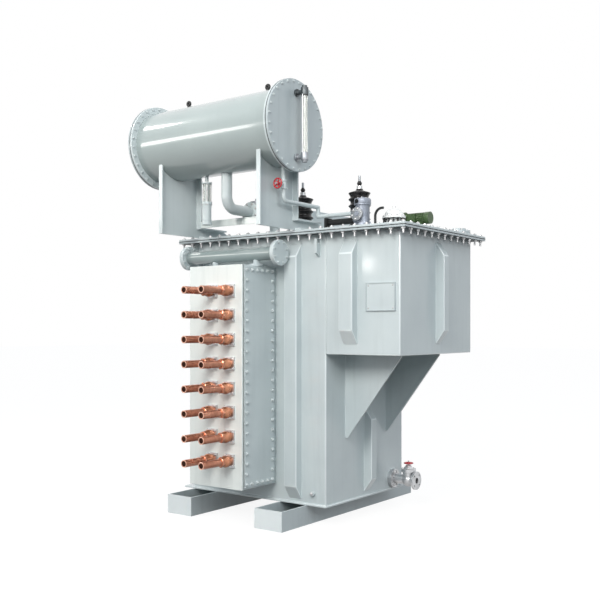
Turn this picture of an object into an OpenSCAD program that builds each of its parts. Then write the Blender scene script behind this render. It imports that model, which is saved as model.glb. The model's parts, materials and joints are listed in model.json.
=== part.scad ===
// Oil-filled furnace transformer on two skids, with copper low-voltage tubes on its front,
// an overhanging tap compartment on its right and a conservator on brackets above the front.
// +X is the right end, -Y the front with the copper tubes, +Z up, origin on the ground
// in the middle of the skids' anchor holes. Millimetres.

/* [Skids] */
// Length of each skid, front to back
skid_len = 2045; // [1800:5:2400]
// Width of each skid trough
skid_w = 278; // [200:2:320]
// Height of the skids
skid_h = 160; // [120:2:220]
// Plate thickness of the skids
skid_t = 12; // [8:1:20]
// Distance between the skids' centre lines
skid_pitch = 974; // [800:2:1050]
// Distance between the anchor holes along a skid
anchor_pitch = 1700; // [1500:10:1760]
// Diameter of the anchor holes
anchor_d = 36; // [22:1:48]

/* [Tank] */
// Length of the main tank along X
tank_l = 1450; // [1400:5:1600]
// Depth of the main tank along Y
tank_w = 1210; // [1100:5:1300]
// Height of the main tank from the base plate to the cover
tank_h = 2194; // [2100:2:2300]
// Offset of the tank's right wall from the origin
tank_right = 814; // [780:2:850]
// Offset of the tank's front wall from the origin
tank_front = 690; // [640:2:740]
// Thickness of the base plate
base_t = 16; // [10:1:30]
// Ledge of the base plate round the tank
base_lip = 10; // [4:1:30]
// Ledge of the base plate past the left wall, for jacking
base_left_lip = 102; // [60:2:140]

/* [Tap compartment] */
// How far the tap compartment overhangs the right wall
side_l = 682; // [600:2:760]
// Height of the tap compartment
side_h = 981; // [860:1:1060]
// Width of the gussets at their top
gusset_w = 530; // [420:5:590]
// Height of the gussets
gusset_h = 694; // [600:2:760]
// Plate thickness of the gussets
gusset_t = 16; // [10:1:25]
// Distance between the two gussets
gusset_pitch = 640; // [480:5:800]

/* [Rim and cover] */
// Overhang of the rim flange past the walls
rim_out = 93; // [70:1:110]
// Thickness of the rim flange
rim_t = 18; // [12:1:26]
// Thickness of the cover plate
cover_t = 20; // [12:1:30]

/* [Stiffeners] */
// Width of the tall front and rear stiffeners
rib_w = 125; // [90:1:150]
// Width of the stiffeners on the end walls
end_rib_w = 80; // [50:1:110]
// How far the stiffeners stand out
rib_out = 78; // [50:1:85]
// Height of the slope at each end of a stiffener
rib_slope = 110; // [50:2:140]

/* [Low-voltage box] */
// Width of the box
lv_w = 568; // [520:2:640]
// Depth of the box from the tank wall
lv_d = 447; // [380:1:520]
// Height of the box
lv_h = 1798; // [1740:2:1820]
// Height of the underside of the box
lv_z = 309; // [260:1:330]
// Thickness of the front panel
panel_t = 20; // [10:1:30]
// Thickness of the bolted side covers
side_cover_t = 12; // [6:1:20]

/* [Copper tubes] */
// Rows of tubes, one above the other
tube_rows = 8; // [6:1:8]
// Distance between rows
row_pitch = 194.5; // [170:0.5:205]
// Distance between the two columns
column_pitch = 184; // [150:1:220]
// Outside diameter of a tube
tube_d = 60; // [50:1:66]
// Bore of a tube
tube_bore = 44; // [30:1:46]
// How far the tubes stand out of the panel
tube_out = 336; // [260:2:420]
// Side of the square clamping flanges
clamp_w = 105; // [96:1:120]
// Thickness of the clamping flanges
clamp_t = 14; // [8:1:20]
// Largest diameter of a gland nut
gland_d = 92; // [80:1:95]
// Length of a gland nut
gland_len = 112; // [90:1:130]

/* [Oil header] */
// Outside diameter of the header pipe
header_d = 112; // [90:1:120]
// Length of the header over its blank flanges
header_l = 1030; // [900:5:1100]
// Diameter of the header's end flanges
header_flange_d = 208; // [180:1:220]
// Thickness of one end flange
header_flange_t = 18; // [12:1:24]
// Height of the header's axis above the box
header_z = 99; // [92:1:120]
// Distance of the header's axis from the tank wall
header_out = 192; // [170:1:230]

/* [Conservator] */
// Outside diameter of the shell
cons_d = 600; // [560:2:640]
// Length over the two covers
cons_l = 1503; // [1420:1:1580]
// Height of the axis above the cover
cons_z = 770; // [720:2:830]
// Distance of the axis in front of the tank's front wall
cons_out = 342; // [320:1:370]
// Plate thickness of the shell
cons_t = 8; // [5:1:12]
// Diameter of the end flanges and covers
cons_flange_d = 710; // [690:2:760]
// Thickness of a cover, and of the flange that it is bolted to
cons_cover_t = 20; // [12:1:26]
// Length of the oil gauge between its fittings' centres
gauge_len = 496; // [400:2:540]
// Stand-off of the oil gauge from the cover
gauge_out = 80; // [65:1:100]

/* [Brackets] */
// Distance of the brackets' plates from the conservator's ends
bracket_inset = 224; // [200:1:280]
// Width of a bracket under the conservator
bracket_w = 457; // [400:1:500]
// Plate thickness of a bracket
bracket_t = 14; // [8:1:20]
// Length of a bracket's tail on the cover
tail_l = 412; // [330:2:450]
// Height of a bracket's tail
tail_h = 88; // [60:1:110]
// Width of a bracket's rear and tail edge flanges
bracket_flange = 50; // [30:1:56]
// Height of the rail between the brackets above the cover
rail_up = 80; // [60:1:84]
// Height of the rail
rail_h = 58; // [40:1:62]

/* [Oil pipes] */
// Outside diameter of the main oil pipe
pipe_d = 89; // [76:1:95]
// Height of its level run above the cover
pipe_up = 190; // [186:1:210]
// Outside diameter of the tap compartment's oil pipe
thin_d = 34; // [27:1:40]
// Height of that pipe's upper run above the cover
thin_up = 200; // [180:1:220]

/* [Bushings] */
// Distance between the high-voltage bushings
hv_pitch = 576; // [520:2:600]
// Distance of the bushings behind the front wall
hv_back = 300; // [260:2:420]
// Diameter of the largest shed
shed_d = 180; // [150:2:190]
// Diameter of the porcelain between sheds
core_d = 140; // [110:2:146]
// Height of the porcelain above its flange
porcelain_h = 330; // [280:2:360]
// Number of sheds
sheds = 6; // [4:1:6]
// Diameter of the terminal studs
stud_d = 20; // [14:1:24]

/* [Valves] */
// Diameter of the handwheels
wheel_d = 86; // [70:1:100]
// Diameter of a valve stem
stem_d = 14; // [10:1:18]
// Running clearance between a stem and its wheel, on the radius
stem_gap = 0.05; // [0.02:0.01:0.1]
// Bore of the drain valve
drain_bore = 50; // [40:1:60]
// Diameter of the drain valve's flanges
drain_flange_d = 160; // [150:1:162]
// Bolt circle of the drain valve's outlet
drain_pcd = 118; // [110:1:125]
// Bolt holes of the drain valve's outlet
drain_hole_d = 16; // [12:1:18]
// How far the drain valve stands out of the wall
drain_out = 254; // [230:1:300]
// Height of the drain valve's axis
drain_z = 260; // [258:1:290]

/* [Hidden] */
$fn = 64;

paint = [0.78, 0.83, 0.81];
shade_paint = [0.62, 0.68, 0.69];
pale = [0.93, 0.93, 0.9];
copper = [0.78, 0.43, 0.3];
black = [0.06, 0.06, 0.07];
red = [0.75, 0.12, 0.16];
silver = [0.75, 0.77, 0.8];

seat = 0.2;
over = 1;
tank_left = tank_right - tank_l;
tank_back = tank_w - tank_front;
tank_mid = tank_back - tank_w / 2;
base_z = skid_h + base_t;
lv_top = lv_z + lv_h;
header_axis = lv_top + header_z;
rim_room = 42;
cover_z = max(base_z + tank_h, header_axis + header_flange_d / 2 + rim_room + rim_t);
top_z = cover_z + cover_t;
side_z = cover_z - side_h;
side_right = tank_right + side_l;
roof_left = tank_left - rim_out;
roof_right = side_right + rim_out;
roof_front = -tank_front - rim_out;
roof_back = tank_back + rim_out;

lv_x = 32;
lv_front = -tank_front - lv_d;
tube_side = 66;
tube_rise = 10;
tube_mid_x = lv_x + tube_side;
tube_z0 = lv_z + (lv_h - (tube_rows - 1) * row_pitch) / 2 + tube_rise;
tube_places = [for (column = [-0.5, 0.5], row = [0:tube_rows - 1])
    [tube_mid_x + column * column_pitch, tube_z0 + row * row_pitch]];

header_x = -7;
header_y = -tank_front - header_out;
stub_pitch = 450;
stub_d = 60;

cons_x = 24;
cons_y = -tank_front - cons_out;
cons_r = cons_d / 2;
cons_right = cons_x + cons_l / 2;
cons_left = cons_x - cons_l / 2;
cons_axis = top_z + cons_z;
cons_low = cons_axis - cons_r;
gauge_x = cons_right + gauge_out;

bracket_shift = 12.5;
bracket_right = cons_right + bracket_shift - bracket_inset;
bracket_left = cons_left + bracket_shift + bracket_inset;
bracket_front = cons_y - bracket_w / 2;
bracket_back = cons_y + bracket_w / 2;
bracket_lip = 25;
rail_t = 6;

main_pipe_x = 64;
main_pipe_z = top_z + pipe_up;
thin_gap = 24;
thin_x = bracket_right + bracket_t + bracket_flange + thin_gap;
thin_z = top_z + thin_up;
valve_up = 128;
valve_z = thin_z + valve_up;
wheel_reach = 96;

hv_y = -tank_front + hv_back;
hv_shift = 66;
hv_lip = 17;
hv_places = [for (i = [0, 1]) [(roof_left + roof_right) / 2 - hv_shift + i * hv_pitch, hv_y]];
hv_flange_d = shed_d + 2 * hv_lip;
hv_flange_t = 16;

gear_in = 271;
gear_back = 120;
gear_pipe_up = 124;
shaft_up = 66;
gear_x = tank_right + gear_in;
gear_y = -tank_front + gear_back;
gear_pipe_z = top_z + gear_pipe_up;
shaft_z = top_z + shaft_up;

drain_inset = 180;
drain_y = tank_back - drain_inset;
drain_x = tank_right;

// Flat plate between two corners
module block(low, high) {
    translate(low) cube(high - low);
}

// Round bar from a point along X, Y or Z
module bar_x(at, d, l) {
    translate(at) rotate([0, 90, 0]) cylinder(d = d, h = l);
}

module bar_y(at, d, l) {
    translate(at) rotate([-90, 0, 0]) cylinder(d = d, h = l);
}

module bar_z(at, d, l) {
    translate(at) cylinder(d = d, h = l);
}

// Flat ring from a point along X
module ring_x(at, d, bore, l) {
    translate(at) rotate([0, 90, 0]) linear_extrude(l) difference() {
        circle(d = d);
        circle(d = bore);
    }
}

// Folded stiffener with sloping ends, standing out towards -Y from the plane y = 0
module rib(w, h) {
    rotate([90, 0, 90]) translate([0, 0, -w / 2]) linear_extrude(w)
        polygon([[0, 0], [-rib_out, rib_slope], [-rib_out, h - rib_slope], [0, h]]);
}

front_rib_up = 24;
front_rib_gap = 60;
front_rib_inset = 302;
left_rib_inset = 130;
side_rib_up = 80;
side_rib_gap = 60;
side_rib_inset = 236;
low_rib_up = 30;
low_rib_lap = 240;
front_rib_z = base_z + front_rib_up;
front_rib_h = cover_z - rim_t - front_rib_gap - front_rib_z;
side_rib_z = side_z + side_rib_up;
side_rib_h = cover_z - rim_t - side_rib_gap - side_rib_z;
low_rib_z = base_z + low_rib_up;
low_rib_h = side_z - gusset_h + low_rib_lap - low_rib_z;
front_rib_x = tank_right - front_rib_inset;
left_rib_x = tank_left + left_rib_inset;
side_rib_x = tank_right + side_rib_inset;

module skids() {
    color(paint) for (side = [-1, 1]) translate([side * skid_pitch / 2, 0, 0]) difference() {
        block([-skid_w / 2, -skid_len / 2, 0], [skid_w / 2, skid_len / 2, skid_h]);
        block([skid_t - skid_w / 2, skid_t - skid_len / 2, skid_t],
            [skid_w / 2 - skid_t, skid_len / 2 - skid_t, skid_h + over]);
        for (end = [-1, 1]) bar_z([0, end * anchor_pitch / 2, -over], anchor_d, skid_t + 2 * over);
    }
}

module base_plate() {
    color(paint) block([tank_left - base_left_lip, -tank_front - base_lip, skid_h],
        [tank_right + base_lip, tank_back + base_lip, base_z]);
}

module main_tank() {
    color(paint) block([tank_left, -tank_front, base_z], [tank_right, tank_back, cover_z]);
}

module tap_compartment() {
    color(paint) block([tank_right, -tank_front, side_z], [side_right, tank_back, cover_z]);
}

module tank_rim() {
    color(paint) difference() {
        block([roof_left, roof_front, cover_z - rim_t], [roof_right, roof_back, cover_z]);
        block([tank_left, -tank_front, cover_z - rim_t - over],
            [side_right, tank_back, cover_z + over]);
    }
}

module top_cover() {
    color(paint) block([roof_left, roof_front, cover_z], [roof_right, roof_back, top_z]);
}

module front_stiffeners() {
    color(paint) translate([0, -tank_front, 0]) {
        for (x = [front_rib_x, left_rib_x]) translate([x, 0, front_rib_z]) rib(rib_w, front_rib_h);
        translate([side_rib_x, 0, side_rib_z]) rib(rib_w, side_rib_h);
    }
}

module rear_stiffeners() {
    color(paint) translate([0, tank_back, 0]) mirror([0, 1, 0]) {
        for (x = [front_rib_x, (front_rib_x + left_rib_x) / 2, left_rib_x])
            translate([x, 0, front_rib_z]) rib(rib_w, front_rib_h);
        translate([side_rib_x, 0, side_rib_z]) rib(rib_w, side_rib_h);
    }
}

module end_stiffeners() {
    color(paint) {
        translate([side_right, tank_mid, side_rib_z]) rotate([0, 0, 90]) rib(end_rib_w, side_rib_h);
        translate([tank_right, tank_mid, low_rib_z]) rotate([0, 0, 90]) rib(end_rib_w, low_rib_h);
        for (y = [-0.25, 0.25]) translate([tank_left, tank_mid + y * tank_w, front_rib_z])
            rotate([0, 0, -90]) rib(rib_w, front_rib_h);
    }
}

gusset_edge = 20;
gusset_foot = 24;

module overhang_gussets() {
    color(paint) for (side = [-1, 1])
        translate([tank_right, tank_mid + side * gusset_pitch / 2 + gusset_t / 2, side_z])
            rotate([90, 0, 0]) linear_extrude(gusset_t)
                polygon([[0, 0], [gusset_w, 0], [gusset_w, -gusset_edge], [gusset_foot, -gusset_h],
                    [0, -gusset_h]]);
}

lug_out = 50;
lug_h = 165;
lug_t = 22;
lug_hole_d = 26;
lug_slope = 16;
lug_taper = 34;
lug_hole_up = 38;

// Lug plate under the rim, standing out towards -Y, with its hole along X
module lug() {
    rotate([90, 0, 90]) translate([0, 0, -lug_t / 2]) linear_extrude(lug_t) difference() {
        polygon([[0, 0], [-lug_out, -lug_slope], [-lug_out, -lug_h + lug_taper], [0, -lug_h]]);
        translate([-lug_out / 2, -lug_h / 2 + lug_hole_up]) circle(d = lug_hole_d);
    }
}

lug_drop = 20;
lug_inset = 66;
lug_left_inset = 44;
lug_z = cover_z - rim_t - lug_drop;

module lifting_lugs() {
    color(paint) for (x = [tank_right - lug_inset, tank_left + lug_left_inset]) {
        translate([x, -tank_front, lug_z]) lug();
        translate([x, tank_back, lug_z]) mirror([0, 1, 0]) lug();
    }
}

module lv_box() {
    color(paint) block([lv_x - lv_w / 2 + side_cover_t, lv_front + panel_t, lv_z],
        [lv_x + lv_w / 2 - side_cover_t, -tank_front, lv_top]);
}

module lv_panel() {
    color(pale) block([lv_x - lv_w / 2, lv_front, lv_z], [lv_x + lv_w / 2, lv_front + panel_t, lv_top]);
}

cover_seam = 14;
cover_inset = 34;

module lv_side_covers() {
    color(shade_paint) for (side = [0, 1]) translate([lv_x, 0, 0]) mirror([side, 0, 0])
        block([lv_w / 2 - side_cover_t, lv_front + panel_t + cover_seam, lv_z + cover_seam],
            [lv_w / 2, -tank_front - cover_inset, lv_top - cover_seam]);
}

module copper_tubes() {
    color(copper) for (p = tube_places) difference() {
        bar_y([p[0], lv_front - tube_out, p[1]], tube_d, tube_out);
        bar_y([p[0], lv_front - tube_out - over, p[1]], tube_bore, tube_out - clamp_t + over);
    }
}

gland_edge = 8;
gland_rise = 26;
gland_flat = 26;
gland_neck = 20;
gland_step = 6;
gland_lip = 4;
gland_nose = 8;

// Barrel-shaped gland nut round a tube, from y = 0 towards -Y
module gland() {
    inner = tube_d / 2 + seat;
    outer = gland_d / 2;
    barrel = gland_rise + gland_flat;
    rotate([90, 0, 0]) rotate_extrude()
        polygon([[inner, 0], [outer - gland_edge, 0], [outer, gland_rise], [outer, barrel],
            [outer - gland_step, barrel + gland_neck], [inner + gland_lip, gland_len - gland_nose],
            [inner + gland_lip - 1, gland_len], [inner, gland_len]]);
}

module tube_glands() {
    color(copper) for (p = tube_places) translate([p[0], lv_front - clamp_t, p[1]]) gland();
}

module tube_flanges() {
    color(silver) for (p = tube_places) difference() {
        block([p[0] - clamp_w / 2, lv_front - clamp_t, p[1] - clamp_w / 2],
            [p[0] + clamp_w / 2, lv_front, p[1] + clamp_w / 2]);
        bar_y([p[0], lv_front - clamp_t - over, p[1]], tube_d + 2 * seat, clamp_t + 2 * over);
    }
}

module oil_header() {
    color(paint) bar_x([header_x - header_l / 2 + header_flange_t, header_y, header_axis], header_d,
        header_l - 2 * header_flange_t);
}

// At each end a ring on the pipe and the blank flange that closes it
module header_flanges() {
    color(paint) for (side = [0, 1]) translate([header_x, header_y, header_axis]) mirror([side, 0, 0]) {
        ring_x([header_l / 2 - 2 * header_flange_t, 0, 0], header_flange_d, header_d + 2 * seat,
            header_flange_t);
        bar_x([header_l / 2 - header_flange_t, 0, 0], header_flange_d, header_flange_t);
    }
}

stub_flange_t = 18;

module header_stubs() {
    color(shade_paint) for (side = [-0.5, 0.5]) translate([lv_x + side * stub_pitch, header_y, 0])
        difference() {
            union() {
                bar_z([0, 0, lv_top], stub_d, header_axis - lv_top);
                bar_z([0, 0, lv_top], 2 * stub_d, stub_flange_t);
            }
            bar_x([-2 * stub_d, 0, header_axis], header_d + 2 * seat, 4 * stub_d);
        }
}

module conservator_shell() {
    color(paint) ring_x([cons_left + cons_cover_t, cons_y, cons_axis], cons_d, cons_d - 2 * cons_t,
        cons_l - 2 * cons_cover_t);
}

module conservator_flanges() {
    color(paint) for (x = [cons_left + cons_cover_t, cons_right - 2 * cons_cover_t])
        ring_x([x, cons_y, cons_axis], cons_flange_d, cons_d + 2 * seat, cons_cover_t);
}

module conservator_right_cover() {
    color(paint) bar_x([cons_right - cons_cover_t, cons_y, cons_axis], cons_flange_d, cons_cover_t);
}

module conservator_left_cover() {
    color(paint) bar_x([cons_left, cons_y, cons_axis], cons_flange_d, cons_cover_t);
}

gauge_d = 44;
gauge_pipe_d = 34;
gauge_block = 58;
gauge_cap_d = 40;
gauge_cap_h = 16;

// Valve head of the gauge, with its cap towards +Z and its flange towards the cover
module gauge_head() {
    cylinder(d = gauge_block, h = gauge_block, center = true);
    cylinder(d = gauge_cap_d, h = gauge_block / 2 + gauge_cap_h);
    bar_x([-gauge_out, 0, 0], gauge_block, gauge_cap_h);
}

module level_gauge() {
    color(shade_paint) for (side = [-1, 1]) {
        bar_x([cons_right, cons_y, cons_axis + side * gauge_len / 2], gauge_pipe_d, gauge_out);
        translate([gauge_x, cons_y, cons_axis + side * gauge_len / 2]) rotate([90 - side * 90, 0, 0])
            gauge_head();
    }
}

module gauge_glass() {
    color(pale) bar_z([gauge_x, cons_y, cons_axis - gauge_len / 2 + gauge_block / 2], gauge_d,
        gauge_len - gauge_block);
}

eye_pitch = 860;
eye_x = cons_x + 41;
eye_stem = 42;
eye_d = 46;
eye_wire = 16;
eye_stem_d = 28;

module conservator_eyes() {
    color(black) for (side = [-0.5, 0.5])
        translate([eye_x + side * eye_pitch, cons_y, cons_axis]) difference() {
            union() {
                bar_z([0, 0, 0], eye_stem_d, cons_r + eye_stem - eye_d / 2);
                translate([0, 0, cons_r + eye_stem]) rotate([90, 0, 0])
                    rotate_extrude() translate([eye_d / 2, 0]) circle(d = eye_wire);
            }
            bar_x([-eye_d, 0, 0], cons_d + 2 * seat, 2 * eye_d);
        }
}

// Bracket with its plate on x = 0, its edge flanges towards +X
module bracket() {
    tail_end = bracket_back + tail_l;
    difference() {
        union() {
            rotate([90, 0, 90]) linear_extrude(bracket_t)
                polygon([[bracket_front, top_z], [tail_end, top_z], [tail_end, top_z + tail_h / 2],
                    [tail_end - tail_h, top_z + tail_h], [bracket_back, top_z + tail_h],
                    [bracket_back, cons_axis], [bracket_front, cons_axis]]);
            block([0, bracket_front, top_z],
                [bracket_t + bracket_lip, bracket_front + bracket_t, cons_axis]);
            block([0, bracket_back - bracket_t, top_z + tail_h - bracket_t],
                [bracket_t + bracket_flange, bracket_back, cons_axis]);
            block([0, bracket_back - bracket_t, top_z + tail_h - bracket_t],
                [bracket_t + bracket_flange, tail_end - tail_h, top_z + tail_h]);
            block([0, roof_front, top_z], [bracket_t + bracket_flange, tail_end, top_z + bracket_t]);
        }
        bar_x([-over, cons_y, cons_axis], cons_d + 2 * seat, bracket_t + bracket_flange + 2 * over);
    }
}

module right_bracket() {
    color(paint) translate([bracket_right, 0, 0]) bracket();
}

module left_bracket() {
    color(paint) translate([bracket_left, 0, 0]) bracket();
}

module bracket_rail() {
    low = top_z + rail_up;
    y = bracket_back - bracket_t;
    x0 = bracket_left + bracket_t + bracket_flange;
    color(paint) difference() {
        block([x0, y, low], [bracket_right, y + rail_h, low + rail_h]);
        block([x0 - over, y + rail_t, low - over],
            [bracket_right + over, y + rail_h + over, low + rail_h - rail_t]);
    }
}

bend_r = 100;
relay_d = 130;
relay_l = 190;
relay_ahead = 40;
outlet_run = 40;
relay_head = 34;
relay_cap = 60;
relay_y0 = -tank_front - relay_ahead;
outlet_y = relay_y0 + relay_l + bend_r + outlet_run;
pipe_flange_d = 170;
pipe_flange_t = 14;

module main_oil_pipe() {
    color(paint) {
        difference() {
            union() {
                bar_z([main_pipe_x, cons_y, main_pipe_z + bend_r], pipe_d,
                    cons_axis - main_pipe_z - bend_r);
                translate([main_pipe_x, cons_y, main_pipe_z]) main_bend();
                bar_y([main_pipe_x, cons_y + bend_r, main_pipe_z], pipe_d, relay_y0 - cons_y - bend_r);
                bar_y([main_pipe_x, relay_y0 - pipe_flange_t, main_pipe_z], pipe_flange_d, pipe_flange_t);
            }
            bar_x([main_pipe_x - pipe_d, cons_y, cons_axis], cons_d + 2 * seat, 2 * pipe_d);
        }
        bar_y([main_pipe_x, relay_y0 + relay_l, main_pipe_z], pipe_d,
            outlet_y - bend_r - relay_y0 - relay_l);
        bar_y([main_pipe_x, relay_y0 + relay_l, main_pipe_z], pipe_flange_d, pipe_flange_t);
        translate([main_pipe_x, outlet_y, main_pipe_z]) rotate([0, 0, 180]) mirror([0, 0, 1]) main_bend();
        bar_z([main_pipe_x, outlet_y, top_z], pipe_d, main_pipe_z - bend_r - top_z);
        bar_z([main_pipe_x, outlet_y, top_z], pipe_flange_d, pipe_flange_t);
    }
}

// Quarter bend whose corner is at the origin, from +Z to +Y
module main_bend() {
    translate([0, bend_r, bend_r]) rotate([0, -90, 0]) rotate([0, 0, 180])
        rotate_extrude(angle = 90) translate([bend_r, 0]) circle(d = pipe_d);
}

module gas_relay() {
    color(silver) {
        bar_y([main_pipe_x, relay_y0, main_pipe_z], pipe_flange_d, pipe_flange_t);
        bar_y([main_pipe_x, relay_y0 + relay_l - pipe_flange_t, main_pipe_z], pipe_flange_d, pipe_flange_t);
        bar_y([main_pipe_x, relay_y0, main_pipe_z], relay_d, relay_l);
        bar_z([main_pipe_x, relay_y0 + relay_l / 2, main_pipe_z], relay_d, relay_d / 2 + relay_head);
        bar_z([main_pipe_x, relay_y0 + relay_l / 2, main_pipe_z], relay_d / 3, relay_d / 2 + relay_cap);
    }
}

breather_side = 182;
breather_len = 400;
breather_pipe_d = 30;
breather_flange_d = 88;
breather_flange_t = 20;
breather_glass_d = 76;
breather_glass_h = 150;
breather_x = cons_x - breather_side;

module breather() {
    foot = cons_low - breather_len;
    color(paint) difference() {
        union() {
            bar_z([breather_x, cons_y, foot], breather_pipe_d, cons_r + breather_len);
            for (z = [foot, foot + breather_flange_t + breather_glass_h])
                bar_z([breather_x, cons_y, z], breather_flange_d, breather_flange_t);
            bar_z([breather_x, cons_y, foot + breather_flange_t], breather_glass_d, breather_glass_h);
        }
        bar_x([breather_x - breather_pipe_d, cons_y, cons_axis], cons_d + 2 * seat, 2 * breather_pipe_d);
    }
}

valve_l = 70;
valve_d = 58;
valve_flange_t = 12;
valve_body_d = 44;
valve_bonnet_d = 36;
bonnet_reach = 58;

module conservator_valve() {
    color(paint) difference() {
        union() {
            bar_z([thin_x, cons_y, valve_z - valve_l / 2], thin_d, cons_axis - valve_z + valve_l / 2);
            bar_z([thin_x, cons_y, valve_z - valve_l / 2], valve_d, valve_flange_t);
            bar_z([thin_x, cons_y, valve_z + valve_l / 2 - valve_flange_t], valve_d, valve_flange_t);
            bar_z([thin_x, cons_y, valve_z - valve_l / 2], valve_body_d, valve_l);
            bar_y([thin_x, cons_y - bonnet_reach, valve_z], valve_bonnet_d, bonnet_reach);
            bar_y([thin_x, cons_y - wheel_reach, valve_z], stem_d, wheel_reach);
        }
        bar_x([thin_x - thin_d, cons_y, cons_axis], cons_d + 2 * seat, 2 * thin_d);
    }
}

wheel_rim_d = 12;
wheel_hub_d = 28;
wheel_hub_l = 20;
wheel_gap = 5.5;
spokes = 5;
spoke_w = 8;

// Handwheel on the Z axis, its hub from z = 0 up
module handwheel() {
    difference() {
        union() {
            translate([0, 0, wheel_hub_l / 2]) rotate_extrude()
                translate([(wheel_d - wheel_rim_d) / 2, 0]) circle(d = wheel_rim_d, $fn = 24);
            cylinder(d = wheel_hub_d, h = wheel_hub_l);
            for (i = [0:spokes - 1]) rotate([0, 0, i * 360 / spokes])
                block([(wheel_hub_d - spoke_w) / 2, -spoke_w / 2, (wheel_hub_l - spoke_w) / 2],
                    [(wheel_d - wheel_rim_d) / 2, spoke_w / 2, (wheel_hub_l + spoke_w) / 2]);
        }
        translate([0, 0, -over]) cylinder(d = stem_d + 2 * stem_gap, h = wheel_hub_l + 2 * over);
    }
}

module conservator_wheel() {
    color(red) translate([thin_x, cons_y - bonnet_reach - wheel_gap, valve_z]) rotate([90, 0, 0])
        handwheel();
}

gear_l = 150;
shaft_d = 50;
thin_bend = 45;
thin_flange_d = 60;
thin_flange_t = 12;
thin_end = gear_x - gear_l / 2;

module tap_oil_pipe() {
    color(paint) {
        bar_z([thin_x, cons_y, thin_z + thin_bend], thin_d, valve_z - valve_l / 2 - thin_z - thin_bend);
        translate([thin_x, cons_y + thin_bend, thin_z + thin_bend]) rotate([0, -90, 0]) rotate([0, 0, 180])
            rotate_extrude(angle = 90) translate([thin_bend, 0]) circle(d = thin_d);
        bar_y([thin_x, cons_y + thin_bend, thin_z], thin_d, gear_y - cons_y - thin_bend);
        translate([thin_x, gear_y, thin_z]) sphere(d = thin_d);
        bar_z([thin_x, gear_y, gear_pipe_z], thin_d, thin_z - gear_pipe_z);
        translate([thin_x, gear_y, gear_pipe_z]) sphere(d = thin_d);
        bar_x([thin_x, gear_y, gear_pipe_z], thin_d, thin_end - thin_x);
        bar_x([thin_end - thin_flange_t, gear_y, gear_pipe_z], thin_flange_d, thin_flange_t);
    }
}

shed_lip = 3;
shed_edge = 4;
crown_d = 58;
crown_h = 34;
hood_drop = 18;

// Porcelain profile: a ribbed core under a drooping hood with a conical crown
module porcelain() {
    body_h = porcelain_h - crown_h - hood_drop;
    step = body_h / sheds;
    rotate_extrude() union() {
        square([core_d / 2, body_h]);
        for (i = [0:sheds - 2]) translate([0, (i + 0.6) * step])
            polygon([[0, -0.3 * step], [core_d / 2, -0.3 * step], [shed_d / 2 - shed_lip, -shed_edge],
                [shed_d / 2, 0], [shed_d / 2 - shed_lip, shed_edge], [core_d / 2, 0.3 * step],
                [0, 0.3 * step]]);
        translate([0, body_h])
            polygon([[0, -hood_drop], [shed_d / 2 - shed_lip, -hood_drop],
                [shed_d / 2, shed_edge - hood_drop],
                [core_d / 2, hood_drop / 2], [crown_d / 2, hood_drop + crown_h], [0, hood_drop + crown_h]]);
    }
}

module hv_bushings() {
    color(black) for (p = hv_places) translate([p[0], p[1], top_z]) {
        cylinder(d = hv_flange_d, h = hv_flange_t);
        translate([0, 0, hv_flange_t]) porcelain();
    }
}

terminal_h = 110;
terminal_cap_d = 46;
terminal_cap_h = 26;
terminal_ball_d = 40;
terminal_neck_wall = 2;
terminal_neck_up = 2;

module hv_terminals() {
    color(silver) for (p = hv_places) translate([p[0], p[1], top_z + hv_flange_t + porcelain_h]) {
        cylinder(d = stud_d, h = terminal_h);
        cylinder(d = terminal_cap_d, h = terminal_cap_h);
        translate([0, 0, terminal_cap_h + terminal_ball_d / 2]) sphere(d = terminal_ball_d);
        cylinder(d = stud_d + 2 * terminal_neck_wall,
            h = terminal_cap_h + terminal_ball_d + terminal_neck_up);
    }
}

beam_inset = 560;
beam_w = 90;
beam_h = 260;
beam_t = 10;
beam_back = 430;
beam_x = tank_right - beam_inset;
beam_y0 = -tank_front + beam_back;

module cover_beam() {
    color(paint) difference() {
        block([beam_x - beam_w, beam_y0, top_z], [beam_x, tank_back, top_z + beam_h]);
        block([beam_x - beam_w - over, beam_y0 + beam_t, top_z + beam_t],
            [beam_x - beam_t, tank_back - beam_t, top_z + beam_h - beam_t]);
    }
}

gear_w = 112;
gear_h = 192;
gear_flange_t = 14;
gear_lid_d = 132;
gear_lid_t = 12;
gear_cap_d = 88;
gear_cap_h = 30;
gear_plug_d = 40;
gear_plug_h = 22;
gear_face_d = 104;
gear_face_t = 16;
gear_face_up = 105;
gear_face_out = 92;
gear_ribs = 4;
gear_rib_t = 10;

// Upright gearbox with a lid, a round cover plate towards -Y and ribs at its foot
module tap_gear() {
    color(silver) translate([gear_x, gear_y, top_z]) {
        cylinder(d = gear_l, h = gear_flange_t);
        cylinder(d = gear_w, h = gear_h);
        translate([0, 0, gear_h - gear_lid_t]) cylinder(d = gear_lid_d, h = gear_lid_t);
        translate([0, 0, gear_h]) cylinder(d1 = gear_w, d2 = gear_cap_d, h = gear_cap_h);
        cylinder(d = gear_plug_d, h = gear_h + gear_cap_h + gear_plug_h);
        bar_y([0, -gear_face_out, gear_face_up], gear_face_d - 2 * gear_face_t, gear_face_out);
        bar_y([0, -gear_face_out, gear_face_up], gear_face_d, gear_face_t);
        bar_x([-gear_l / 2, 0, gear_pipe_up], thin_flange_d, gear_l / 2);
        bar_x([-gear_l / 2, 0, shaft_up], shaft_d, gear_l / 2);
        for (i = [0:gear_ribs - 1]) rotate([0, 0, 45 + i * 360 / gear_ribs])
            block([0, -gear_rib_t / 2, 0], [gear_lid_d / 2, gear_rib_t / 2, gear_face_up / 2]);
    }
}

shaft_left = 49;
bearing_t = 24;
bearing_w = 80;
bearing_over = 36;
shaft_x0 = tank_right - shaft_left;

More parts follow.
